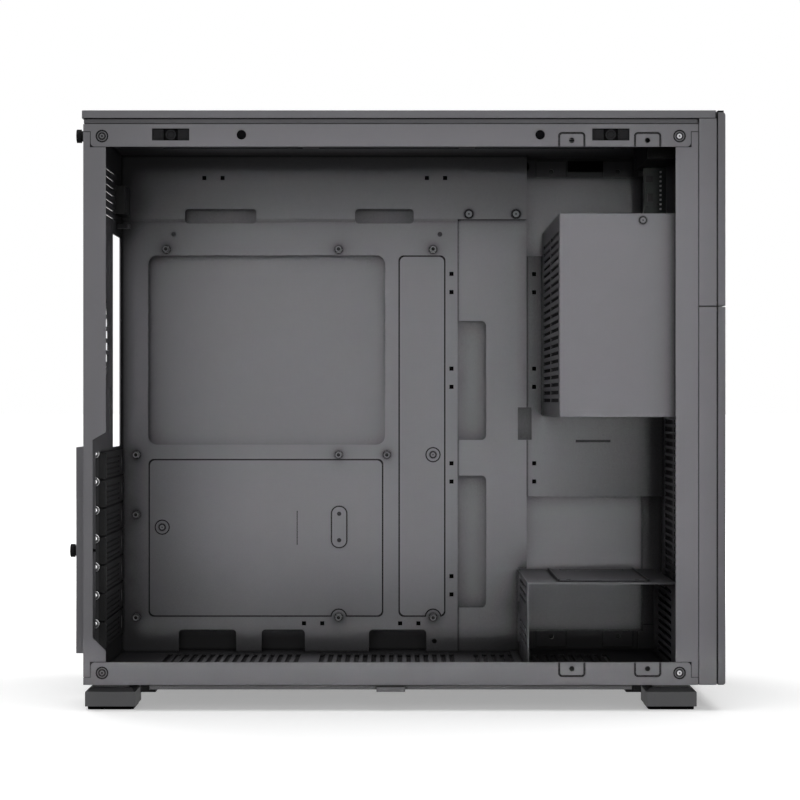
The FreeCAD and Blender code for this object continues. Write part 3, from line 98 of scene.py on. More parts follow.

# What the painted deep shade leaves out: the open side's frame, the guard and the rear's outer faces
FRAME_DEEP = 1.2 * MM
GUARD_LONG = 13 * MM
REAR_ZONE = 60 * MM

# Heights of the bumps
FINE_BUMP = 0.1 * MM
WEAVE_BUMP = 0.3 * MM

# Screws of the slot covers, from a cover's lowest corner along and from its middle up
SLOT_SCREW_IN = 5.9 * MM
SLOT_SCREW_UP = 8.7 * MM
SLOT_SCREW_RADIUS = 3.4 * MM
SLOT_SCREW_TALL = 1.6 * MM

# Length of a thumbscrew's head
THUMB_LONG = 5.5 * MM

# Two screws at the top of the strip beside the tray, from the tray's far end and foot
BAND_SCREWS_BACK = (44.4, 8.3)
BAND_SCREW_RISE = 336.1 * MM
BAND_SCREW_RADIUS = 3.3 * MM
BAND_SCREW_TALL = 0.8 * MM

# Rows of paired tie holes in mm: places along the case, back of the sheet, heights, and whether pairs stand
TIE_LONG = 19 * MM
TIE_WIDE = 4.4 * MM
TIE_DEEP = 2.5 * MM
TIE_ROWS = (
    ((-139.7, 30.9), 78.5, (382.7,), False),
    ((42.8,), 80.5, (302.4, 229.7, 157.0, 70.4), True),
    ((-63.4, 10.4), 80.5, (41.2,), False),
    ((106.3,), 82.5, (302.4, 229.7, 157.0), True))


# Sizes and colours that a user would change

def colour_of(name, description, default):
    """Colour property."""
    return bpy.props.FloatVectorProperty(
        name=name, description=description, subtype="COLOR", size=3, min=0, max=1, default=default)


def length_of(name, description, default, low, high):
    """Length property in metres."""
    return bpy.props.FloatProperty(
        name=name, description=description, subtype="DISTANCE", unit="LENGTH", default=default,
        min=low, max=high)


def power_of(name, description, default):
    """Lamp power property in watts."""
    return bpy.props.FloatProperty(
        name=name, description=description, subtype="POWER", unit="POWER", default=default, min=0, max=1000)


class CaseFinish(bpy.types.PropertyGroup):
    """Colours and grain of the finishes."""
    steel: colour_of("Coated steel", "Colour of the powder coat", (0.186, 0.184, 0.195))
    front_frame: colour_of("Front frame", "Colour of the moulded front frames", (0.186, 0.184, 0.195))
    top_frame: colour_of("Top frame", "Colour of the shaded frame below the cover", (0.102, 0.101, 0.107))
    front_plate: colour_of("Front plate", "Colour of the front plates", (0.154, 0.152, 0.160))
    cover: colour_of("Slot covers", "Colour of the slot covers in the shade", (0.048, 0.048, 0.050))
    filter: colour_of("Filter frame", "Colour of the dust filter's frame", (0.110, 0.109, 0.114))
    clip: colour_of("Clips", "Colour of the panel clips", (0.011, 0.011, 0.012))
    ringed: colour_of("Ringed screws", "Colour of the ringed screw heads", (0.150, 0.149, 0.157))
    # The supply cover is the steel coat made darker: painted shade that holds it down under the inside lamp
    bay_shaded: colour_of("Supply cover", "Colour of the power supply cover", (0.156, 0.154, 0.164))
    foot: colour_of("Feet", "Colour of the moulded feet", (0.073, 0.073, 0.077))
    plastic: colour_of("Black plastic", "Colour of trim, ports and screw rims", (0.006, 0.006, 0.007))
    rubber: colour_of("Rubber", "Colour of pads and bumpers", (0.003, 0.003, 0.0035))
    dark_screw: colour_of("Dark screws", "Colour of the blackened screws", (0.030, 0.030, 0.033))
    bright: colour_of("Bright steel", "Colour of plated metal", (0.32, 0.32, 0.33))
    polished: colour_of("Polished screws", "Colour of the polished slot screws", (0.78, 0.78, 0.79))
    mesh: colour_of("Dust mesh", "Colour of the woven dust mesh", (0.020, 0.020, 0.022))
    board: colour_of("Circuit board", "Colour of the solder mask", (0.004, 0.0055, 0.005))
    grain: length_of("Grain", "Size of the coat's fine grain", 0.0006, 0.0001, 0.01)
    # The crevice, corner and nook reaches are those of the shade painted into the coats
    crevice: length_of("Crevice reach", "How far the dark in seams and gaps reaches", 0.003, 0.0005, 0.02)
    corner: length_of("Corner reach", "How far the soft shade in deep corners reaches", 0.080, 0.005, 0.3)
    nook: length_of("Nook reach", "How far the darker shade beside an edge reaches", 0.022, 0.002, 0.1)
    edge: length_of("Edge round", "Radius that softens the folded edges", 0.0004, 0.0, 0.003)


class CaseFasteners(bpy.types.PropertyGroup):
    """Sizes of the fasteners."""
    rivet_radius: length_of("Corner screw radius", "Radius of a corner screw's head", 3.4 * MM, 0.001, 0.01)
    rivet_rise: length_of("Corner screw rise", "Thickness of its head", 1.0 * MM, 0.0005, 0.003)
    thumb_grooves: bpy.props.IntProperty(
        name="Thumbscrew grooves", description="Grooves round a thumbscrew's head", default=20,
        min=8, max=48)
    recess_wide: length_of("Recess width", "Width of a cross recess", 0.9 * MM, 0.0002, 0.003)
    recess_deep: length_of("Recess depth", "Depth of a six-sided recess", 0.7 * MM, 0.0002, 0.003)


class CaseStudio(bpy.types.PropertyGroup):
    """Camera, lamps and floor."""
    camera_back: length_of("Camera distance", "From the open side to the camera", 1.468, 0.5, 10)
    camera_along: length_of("Camera shift along", "Camera's place along the case", 0.0033, -1, 1)
    camera_high: length_of("Camera height", "Camera's height above the floor", 0.2126, 0, 3)
    lens: bpy.props.FloatProperty(
        name="Lens", description="Focal length on a 36 mm sensor", default=96.75, min=20, max=200)
    key: power_of("Front lamp", "Power of the large lamp before the case", 25.5)
    beam: power_of("Inside lamp", "Power of the gridded lamp that lights the tray", 0.199)
    rail: power_of("Rail lamp", "Power of the gridded lamp along the bottom rail", 0.010)
    top: power_of("Top lamp", "Power of the lamp above the case", 75)
    rear: power_of("Rear lamp", "Power of the lamp behind the case", 30)
    side: power_of("Side lamp", "Power of the lamp before the front plates", 16)
    sky: bpy.props.FloatProperty(
        name="Room light", description="Strength of the even light all round", default=0.06, min=0, max=5)
    floor: colour_of("Floor", "Colour of the floor", (0.80, 0.80, 0.80))
    floor_glow: bpy.props.FloatProperty(
        name="Floor lift", description="Even brightness that the floor shows to the camera", default=0.33,
        min=0, max=1)


def finish_of():
    return bpy.context.scene.case_finish


def fasteners_of():
    return bpy.context.scene.case_fasteners


def studio_of():
    return bpy.context.scene.case_studio


# Shared shader effects

def new_group(name, inputs, outputs):
    """Empty shader node group: values with their defaults go in, values or a normal come out."""
    group = bpy.data.node_groups.new(name, "ShaderNodeTree")
    for label, value in inputs.items():
        socket = group.interface.new_socket(label, in_out="INPUT", socket_type="NodeSocketFloat")
        socket.default_value = value
    for label in outputs:
        kind = "NodeSocketVector" if label == "Normal" else "NodeSocketFloat"
        group.interface.new_socket(label, in_out="OUTPUT", socket_type=kind)
    return group, group.nodes.new("NodeGroupInput").outputs, group.nodes.new("NodeGroupOutput").inputs


def feed(tree, value, socket):
    """Give a socket a number or a link."""
    if isinstance(value, (int, float)):
        socket.default_value = value
    else:
        tree.links.new(value, socket)


def math_node(tree, operation, first, second=None, third=None, clamp=False):
    """Math node whose inputs are sockets or numbers; gives its output."""
    node = tree.nodes.new("ShaderNodeMath")
    node.operation = operation
    node.use_clamp = clamp
    for socket, value in zip(node.inputs, (first, second, third)):
        if value is not None:
            feed(tree, value, socket)
    return node.outputs[0]


def noise_node(tree, place, scale, detail, roughness=0.5):
    """Noise over a place; the scale is a socket or a number."""
    node = tree.nodes.new("ShaderNodeTexNoise")
    tree.links.new(place, node.inputs["Vector"])
    feed(tree, scale, node.inputs["Scale"])
    node.inputs["Detail"].default_value = detail
    node.inputs["Roughness"].default_value = roughness
    return node.outputs["Fac"]


def shut_in(tree, start, reach, samples, clamp=False):
    """How far the surface is shut in within a reach, counted from a start."""
    node = tree.nodes.new("ShaderNodeAmbientOcclusion")
    node.samples = samples
    feed(tree, reach, node.inputs["Distance"])
    return math_node(tree, "SUBTRACT", start, node.outputs["AO"], clamp=clamp)


def parts_of(tree, vector):
    """X, Y and Z of a vector."""
    node = tree.nodes.new("ShaderNodeSeparateXYZ")
    tree.links.new(vector, node.inputs[0])
    return node.outputs


def true_normal(tree):
    return tree.nodes.new("ShaderNodeNewGeometry").outputs["True Normal"]


def object_place(tree):
    return tree.nodes.new("ShaderNodeTexCoord").outputs["Object"]


def coat_grain_group():
    """Fine pebbled powder coat: a height, a tone that drifts and a roughness that varies."""
    group, given, out = new_group(
        "Coat grain", {"Grain size": 0.0006, "Drift": 0.06}, ("Height", "Tone", "Uneven"))
    place = object_place(group)
    fine_scale = math_node(group, "DIVIDE", 1.0, given["Grain size"])
    fine = noise_node(group, place, fine_scale, 2.0)
    coarse_scale = math_node(group, "MULTIPLY", fine_scale, 0.22)
    coarse = noise_node(group, place, coarse_scale, 1.0)
    broad = noise_node(group, place, 9.0, 3.0)
    sum_of = math_node(group, "MULTIPLY_ADD", coarse, 0.6, fine)
    group.links.new(sum_of, out["Height"])
    drift = math_node(group, "SUBTRACT", broad, 0.5)
    speck = math_node(group, "SUBTRACT", fine, 0.5)
    both = math_node(group, "MULTIPLY_ADD", speck, 0.5, drift)
    swing = math_node(group, "MULTIPLY", both, given["Drift"])
    group.links.new(math_node(group, "ADD", swing, 1.0), out["Tone"])
    group.links.new(both, out["Uneven"])
    return group


def soft_edge_group():
    """Rounded normals along edges, and a mask that is bright where an edge is rubbed, which lightens worn
    coat and, where a coat lifts it strongly, paints a highlight.
    """
    group, given, out = new_group("Soft edge", {"Rub": 0.5}, ("Normal", "Edge"))
    bevel = group.nodes.new("ShaderNodeBevel")
    bevel.samples = 4
    bevel.inputs["Radius"].default_value = finish_of().edge
    group.links.new(bevel.outputs["Normal"], out["Normal"])
    dot = group.nodes.new("ShaderNodeVectorMath")
    dot.operation = "DOT_PRODUCT"
    group.links.new(bevel.outputs["Normal"], dot.inputs[0])
    group.links.new(true_normal(group), dot.inputs[1])
    off = math_node(group, "SUBTRACT", 1.0, dot.outputs["Value"], clamp=True)
    patch = noise_node(group, object_place(group), 160.0, 3.0)
    worn = math_node(group, "MULTIPLY", off, patch)
    strength = math_node(group, "MULTIPLY", worn, given["Rub"])
    group.links.new(math_node(group, "MULTIPLY", strength, 6.0, clamp=True), out["Edge"])
    return group


def crevice_shade_group():
    """Mask of painted shade that is bright in narrow gaps, seams and inner corners."""
    group, given, out = new_group("Crevice", {"Depth": 1.0}, ("Gap",))
    shut = shut_in(group, 1.0, finish_of().crevice, 6)
    tight = math_node(group, "SUBTRACT", shut, CREVICE_START, clamp=True)
    group.links.new(math_node(group, "MULTIPLY", tight, given["Depth"], clamp=True), out["Gap"])
    return group


def deep_shade_group():
    """Mask of the soft shade painted into the colour in the case's deep corners, behind the open side's
    frame.
    """
    group, given, out = new_group(
        "Deep shade", {"Amount": 1.0, "Bend": 1.3, "Corner": 0.08}, ("Shade",))
    shut = shut_in(group, 1.0, given["Corner"], 6)
    hid = shut_in(group, NOOK_START, finish_of().nook, 4, clamp=True)
    soft = math_node(group, "POWER", shut, given["Bend"])
    curve = math_node(group, "MULTIPLY_ADD", hid, NOOK_GAIN, soft)
    place = parts_of(group, object_place(group))
    inside = math_node(group, "GREATER_THAN", place["Y"], CASE_LOW[1] + FRAME_DEEP)
    before = math_node(group, "GREATER_THAN", place["X"], CASE_LOW[0] + GUARD_LONG)
    held = math_node(group, "MULTIPLY", inside, before)
    backward = math_node(group, "LESS_THAN", parts_of(group, true_normal(group))["X"], -0.5)
    rear = math_node(group, "LESS_THAN", place["X"], CASE_LOW[0] + REAR_ZONE)
    outer = math_node(group, "MULTIPLY", backward, rear)
    held = math_node(group, "MULTIPLY", held, math_node(group, "SUBTRACT", 1.0, outer))
    kept = math_node(group, "MULTIPLY", curve, held)
    group.links.new(math_node(group, "MULTIPLY", kept, given["Amount"], clamp=True), out["Shade"])
    return group


def settled_dust_group():
    """Faint dust on faces that look up."""
    group, given, out = new_group("Settled dust", {"Amount": 0.1}, ("Dust",))
    up = math_node(group, "SUBTRACT", parts_of(group, true_normal(group))["Z"], 0.6, clamp=True)
    cloud = noise_node(group, object_place(group), 40.0, 6.0, 0.65)
    lying = math_node(group, "MULTIPLY", up, cloud)
    group.links.new(math_node(group, "MULTIPLY", lying, given["Amount"], clamp=True), out["Dust"])
    return group


def weave_group():
    """Woven mesh: a height of crossing threads and a mask of the openings."""
    group, given, out = new_group("Weave", {"Pitch": 0.0012}, ("Height", "Hole"))
    place = parts_of(group, object_place(group))
    rate = math_node(group, "DIVIDE", 2 * math.pi, given["Pitch"])
    upright = math_node(group, "ADD", place["X"], place["Z"])
    first = math_node(group, "SINE", math_node(group, "MULTIPLY", upright, rate))
    second = math_node(group, "SINE", math_node(group, "MULTIPLY", place["Y"], rate))
    group.links.new(math_node(group, "MAXIMUM", first, second), out["Height"])
    low_one = math_node(group, "LESS_THAN", first, 0.15)
    low_two = math_node(group, "LESS_THAN", second, 0.15)
    group.links.new(math_node(group, "MULTIPLY", low_one, low_two), out["Hole"])
    return group


def place_group(material, group, values):
    """One use of a group in a material, with its own values."""
    node = material.node_tree.nodes.new("ShaderNodeGroup")
    node.node_tree = group
    for label, value in values.items():
        node.inputs[label].default_value = value
    return node


def mix_colour(tree, share, first, second):
    """Mix of two colours, each a socket or a colour, by a share that is a socket."""
    node = tree.nodes.new("ShaderNodeMix")
    node.data_type = "RGBA"
    tree.links.new(share, node.inputs[0])
    for socket, value in ((node.inputs[6], first), (node.inputs[7], second)):
        if isinstance(value, bpy.types.NodeSocket):
            tree.links.new(value, socket)
        else:
            socket.default_value = (value[0], value[1], value[2], 1)
    return node.outputs[2]


def plain_material(name):
    """New material with its own Principled shader."""
    material = bpy.data.materials.new(name)
    material.use_nodes = True
    return material, material.node_tree, material.node_tree.nodes["Principled BSDF"]


def toned_colour(tree, colour, tone):
    """Colour made lighter or darker by a tone."""
    node = tree.nodes.new("ShaderNodeVectorMath")
    node.operation = "SCALE"
    node.inputs[0].default_value = colour
    tree.links.new(tone, node.inputs["Scale"])
    return node.outputs[0]


def bump_surface(tree, shader, height, strength, deep, normal=None):
    """Bump the surface by a height, on top of a normal if there is one."""
    node = tree.nodes.new("ShaderNodeBump")
    node.inputs["Strength"].default_value = strength
    node.inputs["Distance"].default_value = deep
    tree.links.new(height, node.inputs["Height"])
    if normal:
        tree.links.new(normal, node.inputs["Normal"])
    tree.links.new(node.outputs["Normal"], shader.inputs["Normal"])


def coated_material(name, colour, rough, bump, shine, groups, grain=1.0, metallic=0.0, rub=0.5, lift=1.35,
                    drift=0.06, dust=0.08, gaps=9.0, shade=1.25, bend=1.3, corner=1.0, dim=0.14):
    """Finish of the coated and moulded pieces: grain, drifting tone, soft rubbed edges that are worn and,
    on strongly lifted coats, a painted highlight, dust, and shade painted into the colour in seams and deep
    corners.
    """
    sets = finish_of()
    material, tree, shader = plain_material(name)
    coat = place_group(material, groups["grain"], {"Grain size": sets.grain * grain, "Drift": drift})
    edge = place_group(material, groups["edge"], {"Rub": rub})
    dusty = place_group(material, groups["dust"], {"Amount": dust})
    # The crevice and deep shade masks paint shade into the colour
    gap = place_group(material, groups["crevice"], {"Depth": gaps})
    deep = place_group(material, groups["shade"], {
        "Amount": shade, "Bend": bend, "Corner": sets.corner * corner})
    rubbed = [min(1.0, part * lift) for part in colour]
    lying = [min(1.0, part * 1.3 + 0.03) for part in colour]
    # Painted shade: dimmed is the colour in deep corners, dark the colour in seams and gaps
    dimmed = [part * dim for part in colour]
    dark = [part * CREVICE_SHADE for part in colour]
    look = mix_colour(tree, edge.outputs["Edge"], toned_colour(tree, colour, coat.outputs["Tone"]), rubbed)
    look = mix_colour(tree, dusty.outputs["Dust"], look, lying)
    look = mix_colour(tree, deep.outputs["Shade"], look, dimmed)
    look = mix_colour(tree, gap.outputs["Gap"], look, dark)
    tree.links.new(look, shader.inputs["Base Color"])
    uneven = math_node(tree, "MULTIPLY_ADD", coat.outputs["Uneven"], 0.22, rough)
    tree.links.new(uneven, shader.inputs["Roughness"])
    bump_surface(tree, shader, coat.outputs["Height"], bump, FINE_BUMP, edge.outputs["Normal"])
    shader.inputs["Metallic"].default_value = metallic
    shader.inputs["Specular IOR Level"].default_value = shine
    return material


def mesh_material(groups):
    """Dust mesh with crossing threads and open gaps."""
    material, tree, shader = plain_material("Dust mesh weave")
    weave = place_group(material, groups["weave"], {"Pitch": 0.0014})
    grain = place_group(material, groups["grain"], {"Grain size": 0.0004, "Drift": 0.3})
    colour = tuple(finish_of().mesh)
    toned = toned_colour(tree, colour, grain.outputs["Tone"])
    dark = [part * 0.2 for part in colour]
    tree.links.new(mix_colour(tree, weave.outputs["Hole"], toned, dark), shader.inputs["Base Color"])
    bump_surface(tree, shader, weave.outputs["Height"], 0.8, WEAVE_BUMP)
    uneven = math_node(tree, "MULTIPLY_ADD", grain.outputs["Uneven"], 0.2, 0.6)
    tree.links.new(uneven, shader.inputs["Roughness"])
    return material


def board_material(groups):
    """Solder mask with fine copper runs below it."""
    material, tree, shader = plain_material("Circuit board mask")
    place = object_place(tree)
    runs = tree.nodes.new("ShaderNodeTexBrick")
    turned = tree.nodes.new("ShaderNodeMapping")
    turned.inputs["Rotation"].default_value = ACROSS
    tree.links.new(place, turned.inputs["Vector"])
    tree.links.new(turned.outputs["Vector"], runs.inputs["Vector"])
    runs.inputs["Scale"].default_value = 420.0
    runs.inputs["Mortar Size"].default_value = 0.06
    colour = tuple(finish_of().board)
    brighter = [part * 2.2 for part in colour]
    shader.inputs["Specular IOR Level"].default_value = 0.1
    tree.links.new(mix_colour(tree, runs.outputs["Fac"], colour, brighter), shader.inputs["Base Color"])
    grain = place_group(material, groups["grain"], {"Grain size": 0.0005, "Drift": 0.1})
    uneven = math_node(tree, "MULTIPLY_ADD", grain.outputs["Uneven"], 0.15, 0.32)
    tree.links.new(uneven, shader.inputs["Roughness"])
    bump_surface(tree, shader, runs.outputs["Fac"], 0.3, FINE_BUMP)
    return material


# Slot or node, material, colour, roughness, bump, specular level, and what differs from the plain coat
STEEL = ("steel", 0.52, 0.35, 0.08)
PLATED = {"grain": 0.6, "metallic": 1.0, "lift": 1.1, "drift": 0.12, "dust": 0.0, "shade": 0.0}
COATS = (
    ("coated_steel", "Coated steel", *STEEL, {}),
    # The floor, side panel, tray and back plate coats are the steel coat with more painted shade in their
    # corners
    ("chassis_bottom", "Floor coat", *STEEL, {"shade": 4.0}),
    ("right_side_panel", "Side panel coat", *STEEL, {"shade": 1.5, "bend": 3.5}),
    ("motherboard_tray", "Tray coat", *STEEL, {"shade": 1.4, "corner": 1.3, "dim": 0.2}),
    ("psu_back_plate", "Back plate coat", *STEEL, {"shade": 1.5, "bend": 1.5, "corner": 1.7}),
    # Supply cover: a darker copy of the steel coat, a painted shade
    ("psu_cover", "Supply cover coat", "bay_shaded", 0.52, 0.35, 0.08, {"shade": 1.2}),
    # Slot covers: a coat darker than the steel that stands for their shade, and edges lifted bright, worn
    # and in part a painted highlight
    ("slot_cover", "Slot cover coat", "cover", 0.52, 0.35, 0.2, {"rub": 1.0, "lift": 3.0}),
    ("front_frame", "Moulded frame", "front_frame", 0.55, 0.45, 0.1, {"grain": 1.4, "shade": 0.0}),
    ("top_frame", "Shaded frame", "top_frame", 0.6, 0.45, 0.1, {"grain": 1.4, "shade": 0.0}),
    ("front_plate", "Front plate coat", "front_plate", 0.48, 0.3, 0.1, {"grain": 0.9, "shade": 0.0}),
    ("foot_plastic", "Foot plastic", "foot", 0.5, 0.6, 0.5, {"grain": 1.8, "lift": 1.5, "shade": 0.0}),
    ("dust_filter", "Filter frame plastic", "filter", 0.55, 0.4, 0.5, {"grain": 1.2, "shade": 0.0}),
    ("black_plastic", "Black plastic", "plastic", 0.5, 0.4, 0.08,
     {"grain": 1.2, "lift": 2.0, "dust": 0.05}),
    # Clip jaws: edges lifted bright, worn and in part a painted highlight
    ("panel_clip", "Clip plastic", "clip", 0.5, 0.4, 0.05,
     {"grain": 1.2, "lift": 3.0, "dust": 0.0, "shade": 0.0}),
    ("rubber", "Pad rubber", "rubber", 0.8, 0.7, 0.03, {"grain": 2.2, "lift": 1.6, "drift": 0.2}),
    ("ringed_screw", "Ringed screw", "ringed", 0.45, 0.2, 0.1, {"grain": 0.7, "gaps": 8.0, "shade": 0.0}),
    ("dark_screw", "Blackened screw", "dark_screw", 0.34, 0.2, 0.5,
     {"grain": 0.7, "metallic": 0.85, "lift": 2.2, "drift": 0.2, "dust": 0.0}),
    ("bright_steel", "Plated steel", "bright", 0.38, 0.12, 0.5, {**PLATED, "gaps": 4.0}),
    ("slot_screw", "Polished screw", "polished", 0.22, 0.1, 0.5, {**PLATED, "gaps": 1.0}))
# The ceiling and rear wall take the floor's heavy painted shade and the drive plate the tray's; the power
# inlet takes the slot covers' darker coat, a painted shade
SHARED_COATS = {"chassis_top": "chassis_bottom", "chassis_rear": "chassis_bottom",
                "drive_plate": "motherboard_tray", "power_inlet": "slot_cover"}


def build_finishes():
    """Every finish by the name of its slot, or of the node that it is kept for."""
    groups = {"grain": coat_grain_group(), "edge": soft_edge_group(), "dust": settled_dust_group(),
              "weave": weave_group(), "crevice": crevice_shade_group(), "shade": deep_shade_group()}
    made = {"dust_mesh": mesh_material(groups), "circuit_board": board_material(groups)}
    for slot, name, tone, rough, bump, shine, rest in COATS:
        colour = tuple(getattr(finish_of(), tone))
        made[slot] = coated_material(name, colour, rough, bump, shine, groups, **rest)
    for node, slot in SHARED_COATS.items():
        made[node] = made[slot]
    return made


def slot_of_node(name):
    """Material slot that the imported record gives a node."""
    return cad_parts[name].material_slots[0].material.name.split(".")[0]


# Modelling by hand

def start_piece():
    """Leave edit mode and let go of everything."""
    if bpy.context.object and bpy.context.object.mode != "OBJECT":
        bpy.ops.object.mode_set(mode="OBJECT")
    bpy.ops.object.select_all(action="DESELECT")


def hold(piece):
    """Make a piece the active one and the only one selected."""
    start_piece()
    piece.select_set(True)
    bpy.context.view_layer.objects.active = piece


def name_piece(name):
    """Name the new primitive and put its place into its mesh."""
    piece = bpy.context.object
    piece.name = name
    piece.data.name = name
    bpy.ops.object.transform_apply()
    return piece


def add_rod(name, centre, radius, long, turn=(0, 0, 0), vertices=32):
    """Cylinder with its place in its mesh."""
    start_piece()
    bpy.ops.mesh.primitive_cylinder_add(vertices=vertices, radius=radius, depth=long, location=centre,
                                        rotation=turn)
    return name_piece(name)


def add_block(name, low, high):
    """Block between two corners, with its place in its mesh."""
    start_piece()
    centre = [(a + b) / 2 for a, b in zip(low, high)]
    bpy.ops.mesh.primitive_cube_add(size=1, location=centre)
    bpy.context.object.scale = [b - a for a, b in zip(low, high)]
    return name_piece(name)


def pick_faces(piece, test):
    """Edit the piece with only the faces that pass the test selected."""
    bpy.ops.object.mode_set(mode="EDIT")
    bpy.ops.mesh.select_mode(type="FACE")
    bpy.ops.mesh.select_all(action="DESELECT")
    bpy.ops.object.mode_set(mode="OBJECT")
    for face in piece.data.polygons:
        face.select = test(face)
    bpy.ops.object.mode_set(mode="EDIT")


def pick_along(piece, direction):
    """Edit the piece with the faces along a direction selected."""
    way = Vector(direction)
    pick_faces(piece, lambda face: face.normal.dot(way) > 0.99)


def push(amount, direction):
    """Extrude the selected faces and move them."""
    bpy.ops.mesh.extrude_region_move(
        TRANSFORM_OT_translate={"value": [part * amount for part in direction]})


def step_in(thickness, amount, direction):
    """Inset the selected faces and push what is inside."""
    bpy.ops.mesh.inset(thickness=thickness)
    push(amount, direction)


def done_editing(angle=0.6):
    """Back to object mode with smooth rounds and clean outward faces."""
    bpy.ops.mesh.select_all(action="SELECT")
    bpy.ops.mesh.remove_doubles(threshold=0.000005)
    bpy.ops.mesh.normals_make_consistent(inside=False)
    bpy.ops.object.mode_set(mode="OBJECT")
    bpy.ops.object.shade_smooth_by_angle(angle=angle)


def apply_step(piece, kind, **values):
    """Give a piece a modifier and apply it."""
    hold(piece)
    step = piece.modifiers.new(kind.title(), kind)
    for label, value in values.items():
        setattr(step, label, value)
    bpy.ops.object.modifier_apply(modifier=step.name)


def bevel_piece(piece, width, segments=2, angle=0.6):
    """Bevel the sharp edges."""
    apply_step(piece, "BEVEL", width=width, segments=segments, limit_method="ANGLE", angle_limit=angle)
    bpy.ops.object.shade_smooth_by_angle(angle=angle)


def cut_with(piece, cutter):
    """Cut one piece with another and throw the cutter away."""
    apply_step(piece, "BOOLEAN", operation="DIFFERENCE", solver="EXACT", object=cutter)
    bpy.data.objects.remove(cutter)


def copy_to(piece, name, offset):
    """Copy of a piece with its own mesh, moved in its mesh."""
    twin = piece.copy()
    twin.data = piece.data.copy()
    twin.name = name
    twin.data.name = name
    bpy.context.collection.objects.link(twin)
    twin.location = offset
    hold(twin)
    bpy.ops.object.transform_apply()
    return twin


def join_pieces(pieces, name):
    """One object from several."""
    start_piece()
    for piece in pieces:
        piece.select_set(True)
    bpy.context.view_layer.objects.active = pieces[0]
    if len(pieces) > 1:
        bpy.ops.object.join()
    pieces[0].name = name
    pieces[0].data.name = name
    return pieces[0]


def dress(piece, slot, body, finish=None):
    """Give a new piece the finish of its slot, or the finish named instead, and the body it rides on."""
    piece.data.materials.clear()
    piece.data.materials.append(FINISHES[finish or slot])
    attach(piece, body)


def island_boxes(node):
    """Boxes of a node's separate solids, each as its lowest and highest corner."""
    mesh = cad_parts[node].data
    keys = [tuple(round(part, 6) for part in vertex.co) for vertex in mesh.vertices]
    lead = {}

    def root(key):
        while lead[key] != key:
            lead[key] = lead[lead[key]]
            key = lead[key]
        return key

    for key in keys:
        lead.setdefault(key, key)
    for face in mesh.polygons:
        corners = [root(keys[index]) for index in face.vertices]
        for other in corners[1:]:
            lead[root(other)] = root(corners[0])
    groups = {}
    for key in lead:
        groups.setdefault(root(key), []).append(key)
    boxes = [([min(parts) for parts in zip(*points)], [max(parts) for parts in zip(*points)])
             for points in groups.values()]
    if not boxes:
        raise RuntimeError("no solid in " + node)
    return sorted(boxes)


def middle(box):
    return [(a + b) / 2 for a, b in zip(box[0], box[1])]


def cross_cutter(centre, wide, long, deep, axis):
    """Cross of two blocks for a screw recess, sunk along an axis."""
    arms = []
    for turn in (0, 1):
        half = [0.0, 0.0, 0.0]
        across = [index for index in range(3) if index != axis]
        half[axis] = deep
        half[across[turn]] = long / 2
        half[across[1 - turn]] = wide / 2
        low = [c - h for c, h in zip(centre, half)]
        high = [c + h for c, h in zip(centre, half)]
        arms.append(add_block("recess_arm", low, high))
    apply_step(arms[0], "BOOLEAN", operation="UNION", object=arms[1])
    bpy.data.objects.remove(arms[1])
    return arms[0]


def screw_ring(name, seat, radius, rise, outward):
    """Ring of a screw head across the case: a flange round a deep groove.

    The seat is the middle of its foot. Outward is -1 towards the open side or 1 towards the closed one."""
    place = (seat[0], seat[1] + outward * rise * 0.4, seat[2])
    ring = add_rod(name, place, radius, rise * 0.8, ACROSS)
    way = (0, outward, 0)
    pick_along(ring, way)
    step_in(radius * 0.22, -rise * 0.7, way)
    done_editing()
    bevel_piece(ring, radius * 0.04)
    return ring


def screw_button(name, seat, radius, rise, outward, share=0.5):
    """Raised centre of a screw head, domed a little, with a six-sided recess."""
    bottom = rise * 0.1
    tall = rise * 0.8
    place = (seat[0], seat[1] + outward * (bottom + tall / 2), seat[2])
    button = add_rod(name, place, radius * share, tall, ACROSS)
    way = (0, outward, 0)
    pick_along(button, way)
    bpy.ops.mesh.inset(thickness=radius * 0.12)
    bpy.ops.transform.translate(value=[part * rise * 0.1 for part in way])
    done_editing()
    bevel_piece(button, radius * 0.04)
    tip = (seat[0], seat[1] + outward * rise, seat[2])
    deep = min(fasteners_of().recess_deep, rise * 0.6)
    recess = add_rod("recess", tip, radius * 0.22, deep * 2, ACROSS, vertices=6)
    cut_with(button, recess)
    bpy.ops.object.shade_smooth_by_angle(angle=0.6)
    return button


class CASE_OT_dress_steel(bpy.types.Operator):
    """Give every CAD piece the finish of its slot"""
    bl_idname = "case.dress_steel"
    bl_label = "Finish the sheet metal and mouldings"

    def execute(self, context):
        for name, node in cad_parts.items():
            slot = slot_of_node(name)
            if slot not in FINISHES:
                raise RuntimeError("no finish for " + slot)
            for holder in node.material_slots:
                holder.material = FINISHES.get(name.rstrip("_1234567"), FINISHES[slot])
        return {"FINISHED"}


class CASE_OT_corner_screws(bpy.types.Operator):
    """Ringed head with a six-sided recess at every corner of both side frames"""
    bl_idname = "case.corner_screws"
    bl_label = "Corner screws"

    def execute(self, context):
        sizes = fasteners_of()
        rings, dark, bright = [], [], []
        for number, box in enumerate(island_boxes("corner_screws")):
            centre = middle(box)
            outward = -1 if centre[1] < 0 else 1
            seat = (centre[0], box[1][1] if outward < 0 else box[0][1], centre[2])
            size = (seat, sizes.rivet_radius, sizes.rivet_rise, outward)
            rings.append(screw_ring("corner_ring_%d" % number, *size))
            button = screw_button("corner_centre_%d" % number, *size)
            (bright if centre[0] > 0 else dark).append(button)
        joined = join_pieces(rings + dark, "corner_screw_heads")
        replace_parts(joined, "corner_screws")
        dress(joined, "dark_screw", "case", "ringed_screw")
        dress(join_pieces(bright, "corner_screw_centres_plated"), "bright_steel", "case")
        return {"FINISHED"}


